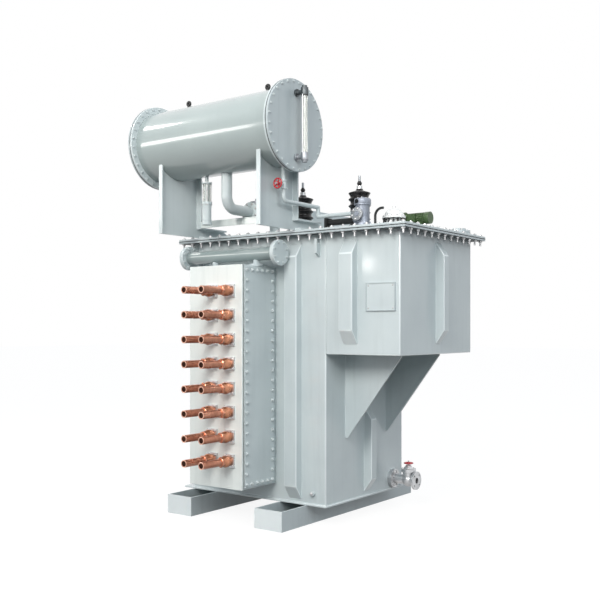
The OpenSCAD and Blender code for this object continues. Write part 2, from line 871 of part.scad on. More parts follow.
module drive_shaft() {
    color(black) {
        bar_x([shaft_x0, gear_y, shaft_z], shaft_d, gear_x - gear_l / 2 - shaft_x0);
        block([shaft_x0 - bearing_t, gear_y - bearing_w / 2, top_z],
            [shaft_x0, gear_y + bearing_w / 2, shaft_z + bearing_over]);
    }
}

dome_in = 470;
dome_back = 270;
dome_neck_d = 124;
dome_flange_d = 186;
dome_flange_t = 15;
dome_neck_h = 76;
dome_cap_d = 172;
dome_cap_h = 66;
dome_knob_d = 24;
dome_knob_h = 18;
dome_x = tank_right + dome_in;
dome_y = -tank_front + dome_back;

// Turret with a bolted flange under a round cap
module tap_dome() {
    cap_r = (dome_cap_d * dome_cap_d / 4 + dome_cap_h * dome_cap_h) / (2 * dome_cap_h);
    rim_z = dome_neck_h + dome_flange_t;
    color(pale) translate([dome_x, dome_y, top_z]) rotate_extrude() union() {
        square([dome_flange_d / 2, dome_flange_t]);
        square([dome_neck_d / 2, rim_z]);
        translate([0, dome_neck_h]) square([dome_flange_d / 2, dome_flange_t]);
        translate([0, rim_z]) intersection() {
            square([dome_cap_d / 2, dome_cap_h]);
            translate([0, dome_cap_h - cap_r]) circle(r = cap_r);
        }
        square([dome_knob_d / 2, rim_z + dome_cap_h + dome_knob_h]);
    }
}

motor_in = 425;
motor_back = 540;
motor_up = 98;
motor_d = 84;
motor_l = 225;
motor_hood_d = 98;
motor_hood_l = 42;
motor_flange_d = 118;
motor_flange_t = 14;
motor_foot_w = 100;
motor_foot_in = 44;
motor_foot_t = 12;
motor_fins = 18;
motor_fin_t = 4;
motor_fin_d = 93;
motor_box_w = 64;
motor_box_l = 70;
motor_shaft_d = 28;
motor_shaft_l = 46;
motor_x = tank_right + motor_in;
motor_y = -tank_front + motor_back;
motor_z = top_z + motor_up;

// Finned motor on a footed cradle, with its fan hood on the right and its shaft end on the left
module drive_motor() {
    body_l = motor_l - motor_hood_l;
    color([0.1, 0.42, 0.3]) {
        bar_x([motor_x + body_l, motor_y, motor_z], motor_hood_d, motor_hood_l);
        bar_x([motor_x - motor_flange_t, motor_y, motor_z], motor_flange_d, motor_flange_t);
        bar_x([motor_x - motor_shaft_l, motor_y, motor_z], motor_shaft_d, motor_shaft_l);
        translate([motor_x, motor_y, motor_z]) rotate([90, 0, 90]) linear_extrude(body_l) {
            circle(d = motor_d);
            for (i = [0:motor_fins - 1]) rotate(i * 360 / motor_fins)
                translate([0, -motor_fin_t / 2]) square([motor_fin_d / 2, motor_fin_t]);
        }
        block([motor_x + motor_foot_in, motor_y - motor_box_w / 2, top_z],
            [motor_x + body_l - motor_foot_in / 2, motor_y + motor_box_w / 2, motor_z]);
        block([motor_x + motor_foot_in / 2, motor_y - motor_foot_w / 2, top_z],
            [motor_x + body_l, motor_y + motor_foot_w / 2, top_z + motor_foot_t]);
        translate([motor_x + motor_foot_in, motor_y - motor_hood_d / 2 - motor_foot_t,
            motor_z - motor_box_w / 2]) cube([motor_box_l, motor_hood_d / 2, motor_box_w]);
    }
}

vent_in = 398;
vent_back = 104;
vent_d = 20;
vent_r = 60;
vent_h = 84;
vent_end = 14;
vent_foot_d = 48;
vent_foot_t = 12;
vent_x = tank_right + vent_in;
vent_y = -tank_front + vent_back;

// Pipe that rises and bends over towards +X
module vent_pipe() {
    color(black) translate([vent_x, vent_y, top_z]) {
        cylinder(d = vent_d, h = vent_h);
        translate([vent_r, 0, vent_h]) rotate([90, 0, 0]) rotate([0, 0, 90])
            rotate_extrude(angle = 90) translate([vent_r, 0]) circle(d = vent_d);
        bar_x([vent_r, 0, vent_h + vent_r], vent_d, vent_end);
        cylinder(d = vent_foot_d, h = vent_foot_t);
    }
}

hatch_d = 212;
hatch_t = 34;
hatch_crown_d = 152;
hatch_crown_h = 50;
hatch_in = 30;
hatch_back = 190;

module hand_hole_cover() {
    color(shade_paint) translate([side_right - hatch_in, tank_back - hatch_back, top_z]) {
        cylinder(d = hatch_d, h = hatch_t);
        cylinder(d = hatch_crown_d, h = hatch_crown_h);
    }
}

drain_mid = 171;
drain_stem_up = 132;
drain_stem_over = 32;
drain_wall = 17;
drain_flange_t = 18;
bonnet_d = 104;
bonnet_h = 84;
bonnet_lip = 13;
bonnet_t = 14;
yoke_d = 40;
drain_mid_x = drain_x + drain_mid;

// Gate valve: wall flange pair, round body, bonnet, stem post and a drilled outlet flange
module drain_valve() {
    bonnet_top = drain_z + bonnet_h;
    color(paint) difference() {
        union() {
            for (x = [drain_x, drain_x + drain_flange_t, drain_x + drain_out - drain_flange_t])
                bar_x([x, drain_y, drain_z], drain_flange_d, drain_flange_t);
            bar_x([drain_x, drain_y, drain_z], drain_bore + 2 * drain_wall, drain_out);
            translate([drain_mid_x, drain_y, drain_z]) sphere(d = bonnet_d + bonnet_lip);
            bar_z([drain_mid_x, drain_y, drain_z], bonnet_d, bonnet_h);
            bar_z([drain_mid_x, drain_y, bonnet_top - bonnet_t], bonnet_d + 2 * bonnet_lip, 2 * bonnet_t);
            translate([drain_mid_x, drain_y, bonnet_top + bonnet_t])
                cylinder(d1 = bonnet_d - bonnet_lip, d2 = yoke_d, h = drain_stem_up - bonnet_h - bonnet_t);
            bar_z([drain_mid_x, drain_y, drain_z], stem_d, drain_stem_up + wheel_gap + drain_stem_over);
        }
        bar_x([drain_mid_x, drain_y, drain_z], drain_bore, drain_out - drain_mid + over);
        for (turn = [45:90:315]) translate([0, drain_y, drain_z]) rotate([turn, 0, 0])
            bar_x([drain_x + drain_out - drain_flange_t - over, 0, drain_pcd / 2], drain_hole_d,
                drain_flange_t + 2 * over);
    }
}

module drain_wheel() {
    color(red) translate([drain_mid_x, drain_y, drain_z + drain_stem_up + wheel_gap])
        handwheel();
}

boss_in = 125;
boss_up = 87;
boss_d = 42;
boss_out = 26;
boss_hole_d = 13;
boss_hole_l = 20;
boss_x = tank_right - boss_in;
boss_z = base_z + boss_up;

module earth_boss() {
    color(silver) difference() {
        bar_y([boss_x, -tank_front - boss_out, boss_z], boss_d, boss_out);
        bar_y([boss_x, -tank_front - boss_out - over, boss_z], boss_hole_d, boss_hole_l + over);
    }
}

plate_in = 387;
plate_up = 348;
plate_w = 250;
plate_h = 205;
plate_t = 8;

module rating_plate() {
    color(paint) translate([tank_right + plate_in, -tank_front - plate_t, side_z + plate_up])
        cube([plate_w, plate_t, plate_h]);
}

skids();
base_plate();
main_tank();
tap_compartment();
tank_rim();
top_cover();
front_stiffeners();
rear_stiffeners();
end_stiffeners();
overhang_gussets();
lifting_lugs();
lv_box();
lv_panel();
lv_side_covers();
copper_tubes();
tube_glands();
tube_flanges();
oil_header();
header_flanges();
header_stubs();
conservator_shell();
conservator_flanges();
conservator_right_cover();
conservator_left_cover();
level_gauge();
gauge_glass();
conservator_eyes();
right_bracket();
left_bracket();
bracket_rail();
main_oil_pipe();
gas_relay();
breather();
conservator_valve();
conservator_wheel();
tap_oil_pipe();
hv_bushings();
hv_terminals();
cover_beam();
tap_gear();
drive_shaft();
tap_dome();
drive_motor();
vent_pipe();
hand_hole_cover();
drain_valve();
drain_wheel();
earth_boss();
rating_plate();
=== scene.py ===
import json
import math
import bpy
import bmesh
from mathutils import Matrix, Vector

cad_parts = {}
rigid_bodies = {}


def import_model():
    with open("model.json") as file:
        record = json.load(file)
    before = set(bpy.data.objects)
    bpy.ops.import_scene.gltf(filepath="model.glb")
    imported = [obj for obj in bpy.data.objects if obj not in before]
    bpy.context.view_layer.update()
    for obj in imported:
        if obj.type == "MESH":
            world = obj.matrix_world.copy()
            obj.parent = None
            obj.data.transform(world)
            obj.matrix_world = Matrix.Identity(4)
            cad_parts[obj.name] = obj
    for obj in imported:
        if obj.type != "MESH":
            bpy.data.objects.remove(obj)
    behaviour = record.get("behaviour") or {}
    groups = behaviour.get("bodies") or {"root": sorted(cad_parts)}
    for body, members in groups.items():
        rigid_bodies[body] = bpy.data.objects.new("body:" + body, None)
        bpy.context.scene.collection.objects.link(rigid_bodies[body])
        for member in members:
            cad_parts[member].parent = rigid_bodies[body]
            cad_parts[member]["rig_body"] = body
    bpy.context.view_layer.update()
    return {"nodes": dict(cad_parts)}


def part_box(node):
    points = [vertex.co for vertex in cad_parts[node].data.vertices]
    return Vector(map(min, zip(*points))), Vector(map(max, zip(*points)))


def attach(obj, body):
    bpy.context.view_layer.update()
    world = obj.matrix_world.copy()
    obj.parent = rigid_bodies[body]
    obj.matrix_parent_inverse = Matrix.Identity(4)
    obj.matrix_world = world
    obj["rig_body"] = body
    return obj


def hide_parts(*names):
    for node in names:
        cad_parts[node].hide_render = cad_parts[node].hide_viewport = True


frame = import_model()
nodes = frame["nodes"]
print("frame loaded:", len(nodes), "nodes")

# camera of the photograph, level, with the frame shifted up a little
cameraSet = {"place": (4.747, -6.312, 1.6), "azimuth": 36.7, "lens": 51.5, "sensor": 36.0, "shiftY": 0.0467,
             "clipEnd": 100}
cameraData = bpy.data.cameras.new("photoCamera")
cameraData.lens = cameraSet["lens"]
cameraData.sensor_width = cameraSet["sensor"]
cameraData.shift_y = cameraSet["shiftY"]
cameraData.clip_end = cameraSet["clipEnd"]
camera = bpy.data.objects.new("photoCamera", cameraData)
camera.location = cameraSet["place"]
camera.rotation_euler = (math.pi / 2, 0, math.radians(cameraSet["azimuth"]))
bpy.context.scene.collection.objects.link(camera)
bpy.context.scene.camera = camera
bpy.context.scene.view_settings.view_transform = "Standard"

# node groups shared by the finishes


def startGroup(name, inputs):
    group = bpy.data.node_groups.new(name, "ShaderNodeTree")
    for label, kind in inputs.items():
        group.interface.new_socket(label, in_out="INPUT", socket_type="NodeSocket" + kind)
    for label, kind in (("Color", "Color"), ("Roughness", "Float"), ("Height", "Float")):
        group.interface.new_socket(label, in_out="OUTPUT", socket_type="NodeSocket" + kind)
    entry = group.nodes.new("NodeGroupInput")
    leave = group.nodes.new("NodeGroupOutput")
    return group, entry.outputs, leave.inputs


def feed(tree, socket, value):
    # a constant is set on the socket, an output is linked to it
    if isinstance(value, (int, float, tuple)):
        socket.default_value = value
    else:
        tree.links.new(value, socket)


def noiseNode(tree, vector, scale, detail, roughness):
    node = tree.nodes.new("ShaderNodeTexNoise")
    node.inputs["Scale"].default_value = scale
    node.inputs["Detail"].default_value = detail
    node.inputs["Roughness"].default_value = roughness
    tree.links.new(vector, node.inputs["Vector"])
    return node.outputs["Fac"]


def stretched(tree, vector, scale):
    node = tree.nodes.new("ShaderNodeMapping")
    node.inputs["Scale"].default_value = scale
    tree.links.new(vector, node.inputs["Vector"])
    return node.outputs["Vector"]


def normalUp(tree):
    geometry = tree.nodes.new("ShaderNodeNewGeometry")
    split = tree.nodes.new("ShaderNodeSeparateXYZ")
    tree.links.new(geometry.outputs["Normal"], split.inputs[0])
    return split.outputs["Z"]


def mathNode(tree, operation, first, second, clamp=False):
    node = tree.nodes.new("ShaderNodeMath")
    node.operation = operation
    node.use_clamp = clamp
    feed(tree, node.inputs[0], first)
    feed(tree, node.inputs[1], second)
    return node.outputs[0]


def product(tree, first, *others):
    for value in others:
        first = mathNode(tree, "MULTIPLY", first, value)
    return first


def rampNode(tree, value, low, high):
    node = tree.nodes.new("ShaderNodeMapRange")
    node.inputs["From Min"].default_value = low
    node.inputs["From Max"].default_value = high
    node.inputs["To Min"].default_value = 0.0
    node.inputs["To Max"].default_value = 1.0
    tree.links.new(value, node.inputs["Value"])
    return node.outputs["Result"]


def mixColor(tree, factor, first, second, blend="MIX"):
    node = tree.nodes.new("ShaderNodeMix")
    node.data_type = "RGBA"
    node.blend_type = blend
    for place, value in ((0, factor), (6, first), (7, second)):
        feed(tree, node.inputs[place], value)
    return node.outputs[2]


# each noise is scale, detail and roughness, each span is where a ramp starts and ends
enamelLook = {"mottle": (2.6, 4, 0.55), "mottleSpan": (0.3, 0.7), "mottleLow": (0.94, 0.95, 0.95, 1),
              "mottleHigh": (1.03, 1.03, 1.02, 1), "run": (1.4, 5, 0.6), "runStretch": (14, 14, 0.9),
              "runSpan": (0.52, 0.78), "runTone": (0.74, 0.76, 0.76, 1), "wallSpan": (0.2, 0.7),
              "dust": (11, 5, 0.55), "dustSpan": (0.35, 0.75), "dustTone": (0.5, 0.49, 0.46, 1),
              "ledgeSpan": (0.5, 0.95), "peel": (260, 2, 0.55), "roughSwing": 0.16, "dustRough": 0.5,
              "bump": 0.12, "bumpDepth": 0.0006, "specular": 0.3, "coatRough": 0.09}
metalLook = {"patch": (16, 6, 0.62), "patchSpan": (0.36, 0.68), "belowSpan": (-0.85, 0.55),
             "underShadeTone": (0.3, 0.27, 0.25, 1), "scratch": (90, 4, 0.5), "scratchStretch": (6, 0.5, 6),
             "ageRough": 0.3, "scratchRough": 0.12, "bump": 0.1, "bumpDepth": 0.0004}


def makeEnamelGroup(look):
    # sprayed enamel: slow mottle, rain streaks on walls, dust on ledges, fine orange peel
    group, given, out = startGroup("enamelCoat", {"Position": "Vector", "Paint": "Color", "Streaks": "Float",
                                                  "Dust": "Float", "Gloss": "Float"})
    place = given["Position"]
    height = normalUp(group)
    mottle = noiseNode(group, place, *look["mottle"])
    runs = noiseNode(group, stretched(group, place, look["runStretch"]), *look["run"])
    runs = rampNode(group, runs, *look["runSpan"])
    level = rampNode(group, mathNode(group, "ABSOLUTE", height, 0.0), *look["wallSpan"])
    sidewise = mathNode(group, "SUBTRACT", 1.0, level)
    tone = mixColor(group, rampNode(group, mottle, *look["mottleSpan"]), look["mottleLow"], look["mottleHigh"])
    coat = mixColor(group, 1.0, given["Paint"], tone, "MULTIPLY")
    runShare = product(group, runs, sidewise, given["Streaks"])
    coat = mixColor(group, runShare, coat, mixColor(group, 1.0, coat, look["runTone"], "MULTIPLY"))
    dustPatch = rampNode(group, noiseNode(group, place, *look["dust"]), *look["dustSpan"])
    dustShare = product(group, rampNode(group, height, *look["ledgeSpan"]), dustPatch, given["Dust"])
    group.links.new(mixColor(group, dustShare, coat, look["dustTone"]), out["Color"])
    rough = mathNode(group, "MULTIPLY_ADD", mottle, look["roughSwing"])
    rough.node.inputs[2].default_value = -look["roughSwing"] / 2
    rough = mathNode(group, "ADD", rough, given["Gloss"])
    rough = mathNode(group, "ADD", rough, product(group, dustShare, look["dustRough"]), True)
    group.links.new(rough, out["Roughness"])
    group.links.new(noiseNode(group, place, *look["peel"]), out["Height"])
    return group


def makeMetalGroup(look):
    # bare metal: tarnish patches, painted shade on undersides, fine scratches along one way
    group, given, out = startGroup("bareMetal", {"Position": "Vector", "Bright": "Color", "Tarnish": "Color",
                                                 "Age": "Float", "Gloss": "Float", "UnderShade": "Float"})
    place = given["Position"]
    patch = rampNode(group, noiseNode(group, place, *look["patch"]), *look["patchSpan"])
    share = product(group, patch, given["Age"])
    tone = mixColor(group, share, given["Bright"], given["Tarnish"])
    # painted shade: colour darkened towards the downward faces
    below = mathNode(group, "SUBTRACT", 1.0, rampNode(group, normalUp(group), *look["belowSpan"]))
    shadedBelow = mixColor(group, 1.0, tone, look["underShadeTone"], "MULTIPLY")
    group.links.new(mixColor(group, product(group, below, given["UnderShade"]), tone, shadedBelow), out["Color"])
    fine = noiseNode(group, stretched(group, place, look["scratchStretch"]), *look["scratch"])
    rough = mathNode(group, "ADD", given["Gloss"], product(group, share, look["ageRough"]))
    rough = mathNode(group, "ADD", rough, product(group, fine, look["scratchRough"]), True)
    group.links.new(rough, out["Roughness"])
    group.links.new(fine, out["Height"])
    return group


enamelCoat = makeEnamelGroup(enamelLook)
bareMetal = makeMetalGroup(metalLook)


def startMaterial(name):
    material = bpy.data.materials.new(name)
    material.use_nodes = True
    tree = material.node_tree
    shader = tree.nodes["Principled BSDF"]
    place = tree.nodes.new("ShaderNodeTexCoord").outputs["Object"]
    return material, tree, shader, place


def joinGroup(tree, shader, place, group, look, values):
    node = tree.nodes.new("ShaderNodeGroup")
    node.node_tree = group
    tree.links.new(place, node.inputs["Position"])
    for label, value in values.items():
        node.inputs[label].default_value = value
    tree.links.new(node.outputs["Color"], shader.inputs["Base Color"])
    tree.links.new(node.outputs["Roughness"], shader.inputs["Roughness"])
    lift = tree.nodes.new("ShaderNodeBump")
    lift.inputs["Strength"].default_value = look["bump"]
    lift.inputs["Distance"].default_value = look["bumpDepth"]
    tree.links.new(node.outputs["Height"], lift.inputs["Height"])
    tree.links.new(lift.outputs["Normal"], shader.inputs["Normal"])


def enamel(name, paint, gloss=0.36, streaks=0.25, dust=0.25, coat=0.5):
    material, tree, shader, place = startMaterial(name)
    joinGroup(tree, shader, place, enamelCoat, enamelLook,
              {"Paint": (*paint, 1), "Gloss": gloss, "Streaks": streaks, "Dust": dust})
    shader.inputs["Specular IOR Level"].default_value = enamelLook["specular"]
    shader.inputs["Coat Weight"].default_value = coat
    shader.inputs["Coat Roughness"].default_value = enamelLook["coatRough"]
    return material


def metal(name, bright, tarnish, age, gloss, underShade=0.5):
    material, tree, shader, place = startMaterial(name)
    joinGroup(tree, shader, place, bareMetal, metalLook,
              {"Bright": (*bright, 1), "Tarnish": (*tarnish, 1), "Age": age, "Gloss": gloss, "UnderShade": underShade})
    shader.inputs["Metallic"].default_value = 1.0
    return material


greyPaint = enamel("greyPaint", (0.56, 0.625, 0.64))
# darker copy of the grey paint, used as painted shade
shadePaint = enamel("shadePaint", (0.47, 0.53, 0.55), streaks=0.35)
palePanel = enamel("palePanel", (0.755, 0.81, 0.795), gloss=0.38, streaks=0.35)
boltPaint = enamel("boltPaint", (0.55, 0.605, 0.615), gloss=0.3, streaks=0.0)
headerPaint = enamel("headerPaint", (0.25, 0.305, 0.305), gloss=0.26, streaks=0.1, coat=1.0)
# darker copy of the grey paint: painted shade on the conservator's shell
shadedShellPaint = enamel("shadedShellPaint", (0.355, 0.415, 0.415), gloss=0.3, coat=1.0)
# near-black paint: painted shade under the rim and on the skid troughs' floors
shadowPaint = enamel("shadowPaint", (0.12, 0.135, 0.14), gloss=0.6, coat=0.0)
# paler copy of the grey paint: painted highlight on eased edges, skid ends and lips, and the stiffeners' lower slopes
highlightPaint = enamel("highlightPaint", (0.76, 0.82, 0.835), gloss=0.3, streaks=0.0)
whitePaint = enamel("whitePaint", (0.82, 0.83, 0.82), gloss=0.25)
redPaint = enamel("redPaint", (0.5, 0.03, 0.04), gloss=0.28, streaks=0.1)
greenPaint = enamel("greenPaint", (0.06, 0.105, 0.042), gloss=0.4, coat=0.2)
blackPaint = enamel("blackPaint", (0.016, 0.017, 0.018), gloss=0.35, streaks=0.1, dust=0.06, coat=0.1)
glazedBlack = enamel("glazedBlack", (0.010, 0.009, 0.010), gloss=0.24, streaks=0.0, dust=0.03, coat=0.08)
darkSeal = enamel("darkSeal", (0.05, 0.055, 0.06), gloss=0.6, coat=0.0)
copperTube = metal("copperTube", (0.8, 0.37, 0.25), (0.34, 0.12, 0.07), 0.6, 0.18, underShade=0.9)
copperNut = metal("copperNut", (0.82, 0.38, 0.23), (0.38, 0.14, 0.07), 0.55, 0.18, underShade=0.9)
cutCopper = metal("cutCopper", (0.95, 0.66, 0.54), (0.8, 0.45, 0.33), 0.4, 0.25)
zincPlate = metal("zincPlate", (0.72, 0.74, 0.76), (0.42, 0.43, 0.44), 0.5, 0.3, underShade=0.6)
boltSteel = metal("boltSteel", (0.68, 0.69, 0.7), (0.36, 0.37, 0.38), 0.5, 0.32)
castAlloy = metal("castAlloy", (0.42, 0.46, 0.53), (0.2, 0.22, 0.27), 0.6, 0.42)
brightAlloy = metal("brightAlloy", (0.46, 0.49, 0.52), (0.2, 0.215, 0.235), 0.6, 0.36)
darkSteel = metal("darkSteel", (0.16, 0.18, 0.19), (0.06, 0.065, 0.07), 0.5, 0.3)
# near-black metal: painted shade inside the tube bores
boreShade = metal("boreShade", (0.06, 0.03, 0.02), (0.02, 0.01, 0.01), 0.6, 0.6)

glassLook = {"smear": (40, 3, 0.55), "smearSpan": (0.4, 0.7), "smearLow": (0.88, 0.9, 0.86, 1),
             "smearHigh": (0.95, 0.96, 0.93, 1), "smearRough": 0.12, "clear": 0.9, "bend": 1.47}


def clearGlass(name, look):
    material, tree, shader, place = startMaterial(name)
    smear = noiseNode(tree, place, *look["smear"])
    tree.links.new(product(tree, smear, look["smearRough"]), shader.inputs["Roughness"])
    tint = mixColor(tree, rampNode(tree, smear, *look["smearSpan"]), look["smearLow"], look["smearHigh"])
    tree.links.new(tint, shader.inputs["Base Color"])
    shader.inputs["Transmission Weight"].default_value = look["clear"]
    shader.inputs["IOR"].default_value = look["bend"]
    return material


sightGlass = clearGlass("sightGlass", glassLook)
print("finishes made")

# nodes that aren't named here are grey
nodeFinish = {
    "lv_panel": palePanel, "bracket_rail": palePanel, "tap_dome": whitePaint, "copper_tubes": copperTube,
    "tube_glands": copperNut, "tube_flanges": zincPlate, "hv_bushings": glazedBlack, "hv_terminals": brightAlloy,
    "level_gauge": darkSteel, "header_stubs": shadePaint, "tank_rim": shadePaint, "oil_header": headerPaint,
    "conservator_wheel": redPaint, "drain_wheel": redPaint, "tap_gear": castAlloy, "gas_relay": brightAlloy,
    "drain_valve": zincPlate, "conservator_shell": shadedShellPaint, "skids": shadePaint,
    "conservator_right_cover": shadePaint, "conservator_left_cover": shadePaint,
    "drive_motor": greenPaint, "drive_shaft": blackPaint, "vent_pipe": blackPaint, "conservator_eyes": blackPaint,
    "gauge_glass": sightGlass, "earth_boss": boltPaint, "hand_hole_cover": shadePaint}
for nodeName, node in nodes.items():
    node.data.materials.clear()
    node.data.materials.append(nodeFinish.get(nodeName, greyPaint))

# mesh helpers
meshRules = {"weld": 1e-6, "nodeWeld": 1e-5, "flatDegrees": 1.0, "bevelDegrees": 32.0, "bevelSegments": 2,
             "curveRadians": 0.002}
axisUp, axisDown = (0, 0, 1), (0, 0, -1)
axisFront, axisBack, axisRight = (0, -1, 0), (0, 1, 0), (1, 0, 0)


def keepPiece(bm, name, material, body="transformer", sharp=38.0, level=()):
    bmesh.ops.remove_doubles(bm, verts=bm.verts, dist=meshRules["weld"])
    bmesh.ops.recalc_face_normals(bm, faces=bm.faces)
    for face in bm.faces:
        face.smooth = True
    for edge in bm.edges:
        edge.smooth = len(edge.link_faces) == 2 and edge.calc_face_angle(0) < math.radians(sharp)
    for face in level:
        if face.is_valid:
            face.smooth = False
    mesh = bpy.data.meshes.new(name)
    bm.to_mesh(mesh)
    bm.free()
    piece = bpy.data.objects.new(name, mesh)
    bpy.context.scene.collection.objects.link(piece)
    mesh.materials.append(material)
    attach(piece, body)
    return piece


def mergedCopy(nodeName):
    bm = bmesh.new()
    bm.from_mesh(nodes[nodeName].data)
    bmesh.ops.remove_doubles(bm, verts=bm.verts, dist=meshRules["nodeWeld"])
    return bm


def bevelledCopy(nodeName, width):
    # copy of a node with its sharp edges rounded, and the faces of the rounding
    bm = mergedCopy(nodeName)
    bmesh.ops.dissolve_limit(bm, angle_limit=math.radians(meshRules["flatDegrees"]), verts=bm.verts, edges=bm.edges)
    limit = math.radians(meshRules["bevelDegrees"])
    sharpEdges = [e for e in bm.edges if len(e.link_faces) == 2 and e.calc_face_angle(0) > limit]
    made = bmesh.ops.bevel(bm, geom=sharpEdges, offset=width, offset_type="OFFSET", affect="EDGES",
                           segments=meshRules["bevelSegments"], profile=0.5, material=-1, clamp_overlap=True)
    return bm, set(made["faces"])


def levelFaces(bm, rounded):
    # flat faces keep their own normal, so that they reflect as a flat plate does
    curved = set()
    limit = math.radians(meshRules["bevelDegrees"])
    for edge in bm.edges:
        if len(edge.link_faces) == 2 and not rounded.intersection(edge.link_faces):
            if meshRules["curveRadians"] < edge.calc_face_angle(0) < limit:
                curved.update(edge.link_faces)
    return [face for face in bm.faces if face not in rounded and face not in curved]


def softEdged(nodeName, width):
    # eased copy in place of a node, grey paint made pale along the edges as a painted highlight
    bm, rounded = bevelledCopy(nodeName, width)
    finish = nodeFinish.get(nodeName, greyPaint)
    for face in rounded:
        face.material_index = 1 if finish == greyPaint else 0
    level = levelFaces(bm, rounded)
    body = nodes[nodeName]["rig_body"]
    piece = keepPiece(bm, nodeName + "_soft", finish, body, meshRules["bevelDegrees"], level)
    if finish == greyPaint:
        piece.data.materials.append(highlightPaint)
    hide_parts(nodeName)
    return piece


def turnTo(axis):
    return Vector(axisUp).rotation_difference(Vector(axis)).to_matrix().to_4x4()


def addDisc(bm, place, axis, radius, height, sides=24, topRadius=None, twist=0.0):
    made = bmesh.ops.create_cone(bm, cap_ends=True, cap_tris=False, segments=sides, radius1=radius,
                                 radius2=radius if topRadius is None else topRadius, depth=height)
    verts = made["verts"]
    bmesh.ops.rotate(bm, verts=verts, cent=(0, 0, 0), matrix=Matrix.Rotation(twist, 3, "Z"))
    bmesh.ops.translate(bm, verts=verts, vec=(0, 0, height / 2))
    bmesh.ops.transform(bm, verts=verts, matrix=Matrix.Translation(Vector(place)) @ turnTo(axis))


# shares of a bolt's size
boltShape = {"washer": 1.12, "washerTall": 0.18, "head": 0.92, "headTall": 0.5, "crown": 0.72, "crownTall": 0.12,
             "thread": 0.42, "threadTop": 0.36, "threadAt": 0.6, "threadTall": 0.3}


def addBolt(bm, place, axis, size, twist=0.0):
    # washer, hexagon head with a crown and a stub of thread
    way = Vector(axis).normalized()
    part = {label: size * share for label, share in boltShape.items()}
    addDisc(bm, place, way, part["washer"], part["washerTall"], 12)
    seat = Vector(place) + way * part["washerTall"]
    addDisc(bm, seat, way, part["head"], part["headTall"], 6, twist=twist)
    addDisc(bm, seat + way * part["headTall"], way, part["head"], part["crownTall"], 6, part["crown"], twist)
    addDisc(bm, seat + way * part["threadAt"], way, part["thread"], part["threadTall"], 8, part["threadTop"])


def ringTurns(count):
    return [2 * math.pi * (i + 0.5) / count for i in range(count)]


def boltCircle(bm, place, axis, radius, count, size):
    way = Vector(axis).normalized()
    side = way.orthogonal().normalized()
    other = way.cross(side)
    for turn in ringTurns(count):
        addBolt(bm, Vector(place) + (side * math.cos(turn) + other * math.sin(turn)) * radius, way, size, turn)


def endBolts(bm, mid, x, back, face, bolts):
    # bolts through an upright end flange, with heads outside and nuts behind
    for turn in ringTurns(bolts["count"]):
        y = mid.y + bolts["radius"] * math.cos(turn)
        z = mid.z + bolts["radius"] * math.sin(turn)
        addBolt(bm, (x, y, z), (face, 0, 0), bolts["size"], turn)
        addBolt(bm, (back, y, z), (-face, 0, 0), bolts["size"], turn)


def addBox(bm, low, high):
    verts = bmesh.ops.create_cube(bm, size=1.0)["verts"]
    low, high = Vector(low), Vector(high)
    bmesh.ops.scale(bm, vec=high - low, verts=verts)
    bmesh.ops.translate(bm, vec=(low + high) / 2, verts=verts)


def addRing(bm, place, axis, radius, thick, turns=32, sides=10):
    # round section spun about an axis, then its connected points moved into place
    section = bmesh.ops.create_circle(bm, cap_ends=False, segments=sides, radius=thick)["verts"]
    bmesh.ops.rotate(bm, verts=section, cent=(0, 0, 0), matrix=Matrix.Rotation(math.pi / 2, 3, "X"))
    bmesh.ops.translate(bm, verts=section, vec=(radius, 0, 0))
    loop = list({e for v in section for e in v.link_edges})
    swept = bmesh.ops.spin(bm, geom=section + loop, cent=(0, 0, 0), axis=axisUp, angle=2 * math.pi, steps=turns,
                           use_merge=True, use_duplicate=False)
    walk = section + [v for v in swept["geom_last"] if isinstance(v, bmesh.types.BMVert)]
    seen = set()
    while walk:
        v = walk.pop()
        if v in seen or not v.is_valid:
            continue
        seen.add(v)
        walk.extend(e.other_vert(v) for e in v.link_edges)
    bmesh.ops.transform(bm, verts=list(seen), matrix=Matrix.Translation(Vector(place)) @ turnTo(axis))


def addLathe(bm, profile, place, turns):
    # outline of radius and height turned about an upright axis
    base = Vector(place)
    rim = [bm.verts.new(base + Vector((radius, 0, height))) for radius, height in profile]
    line = [bm.edges.new(pair) for pair in zip(rim, rim[1:])]
    bmesh.ops.spin(bm, geom=rim + line, cent=base, axis=axisUp, angle=2 * math.pi, steps=turns, use_merge=True,
                   use_duplicate=False)


def addBead(bm, first, last, size):
    # half-sunk weld bead between two points
    first, last = Vector(first), Vector(last)
    addDisc(bm, first, last - first, size, (last - first).length, 8)


# plates and boxes with eased edges
easedPlates = {"skids": 0.003, "base_plate": 0.004, "tank_rim": 0.002, "top_cover": 0.003, "main_tank": 0.009,
               "tap_compartment": 0.009, "front_stiffeners": 0.007, "rear_stiffeners": 0.007,
               "end_stiffeners": 0.006, "overhang_gussets": 0.002, "lifting_lugs": 0.003, "lv_box": 0.004,
               "lv_panel": 0.003, "lv_side_covers": 0.002, "tube_flanges": 0.0015, "header_flanges": 0.0025,
               "right_bracket": 0.002, "left_bracket": 0.002, "conservator_flanges": 0.002,
               "conservator_right_cover": 0.003, "conservator_left_cover": 0.003, "cover_beam": 0.003,
               "bracket_rail": 0.0015, "hand_hole_cover": 0.004, "drive_motor": 0.001, "tap_dome": 0.0025,
               "earth_boss": 0.002, "rating_plate": 0.0015}
eased = {nodeName: softEdged(nodeName, width) for nodeName, width in easedPlates.items()}
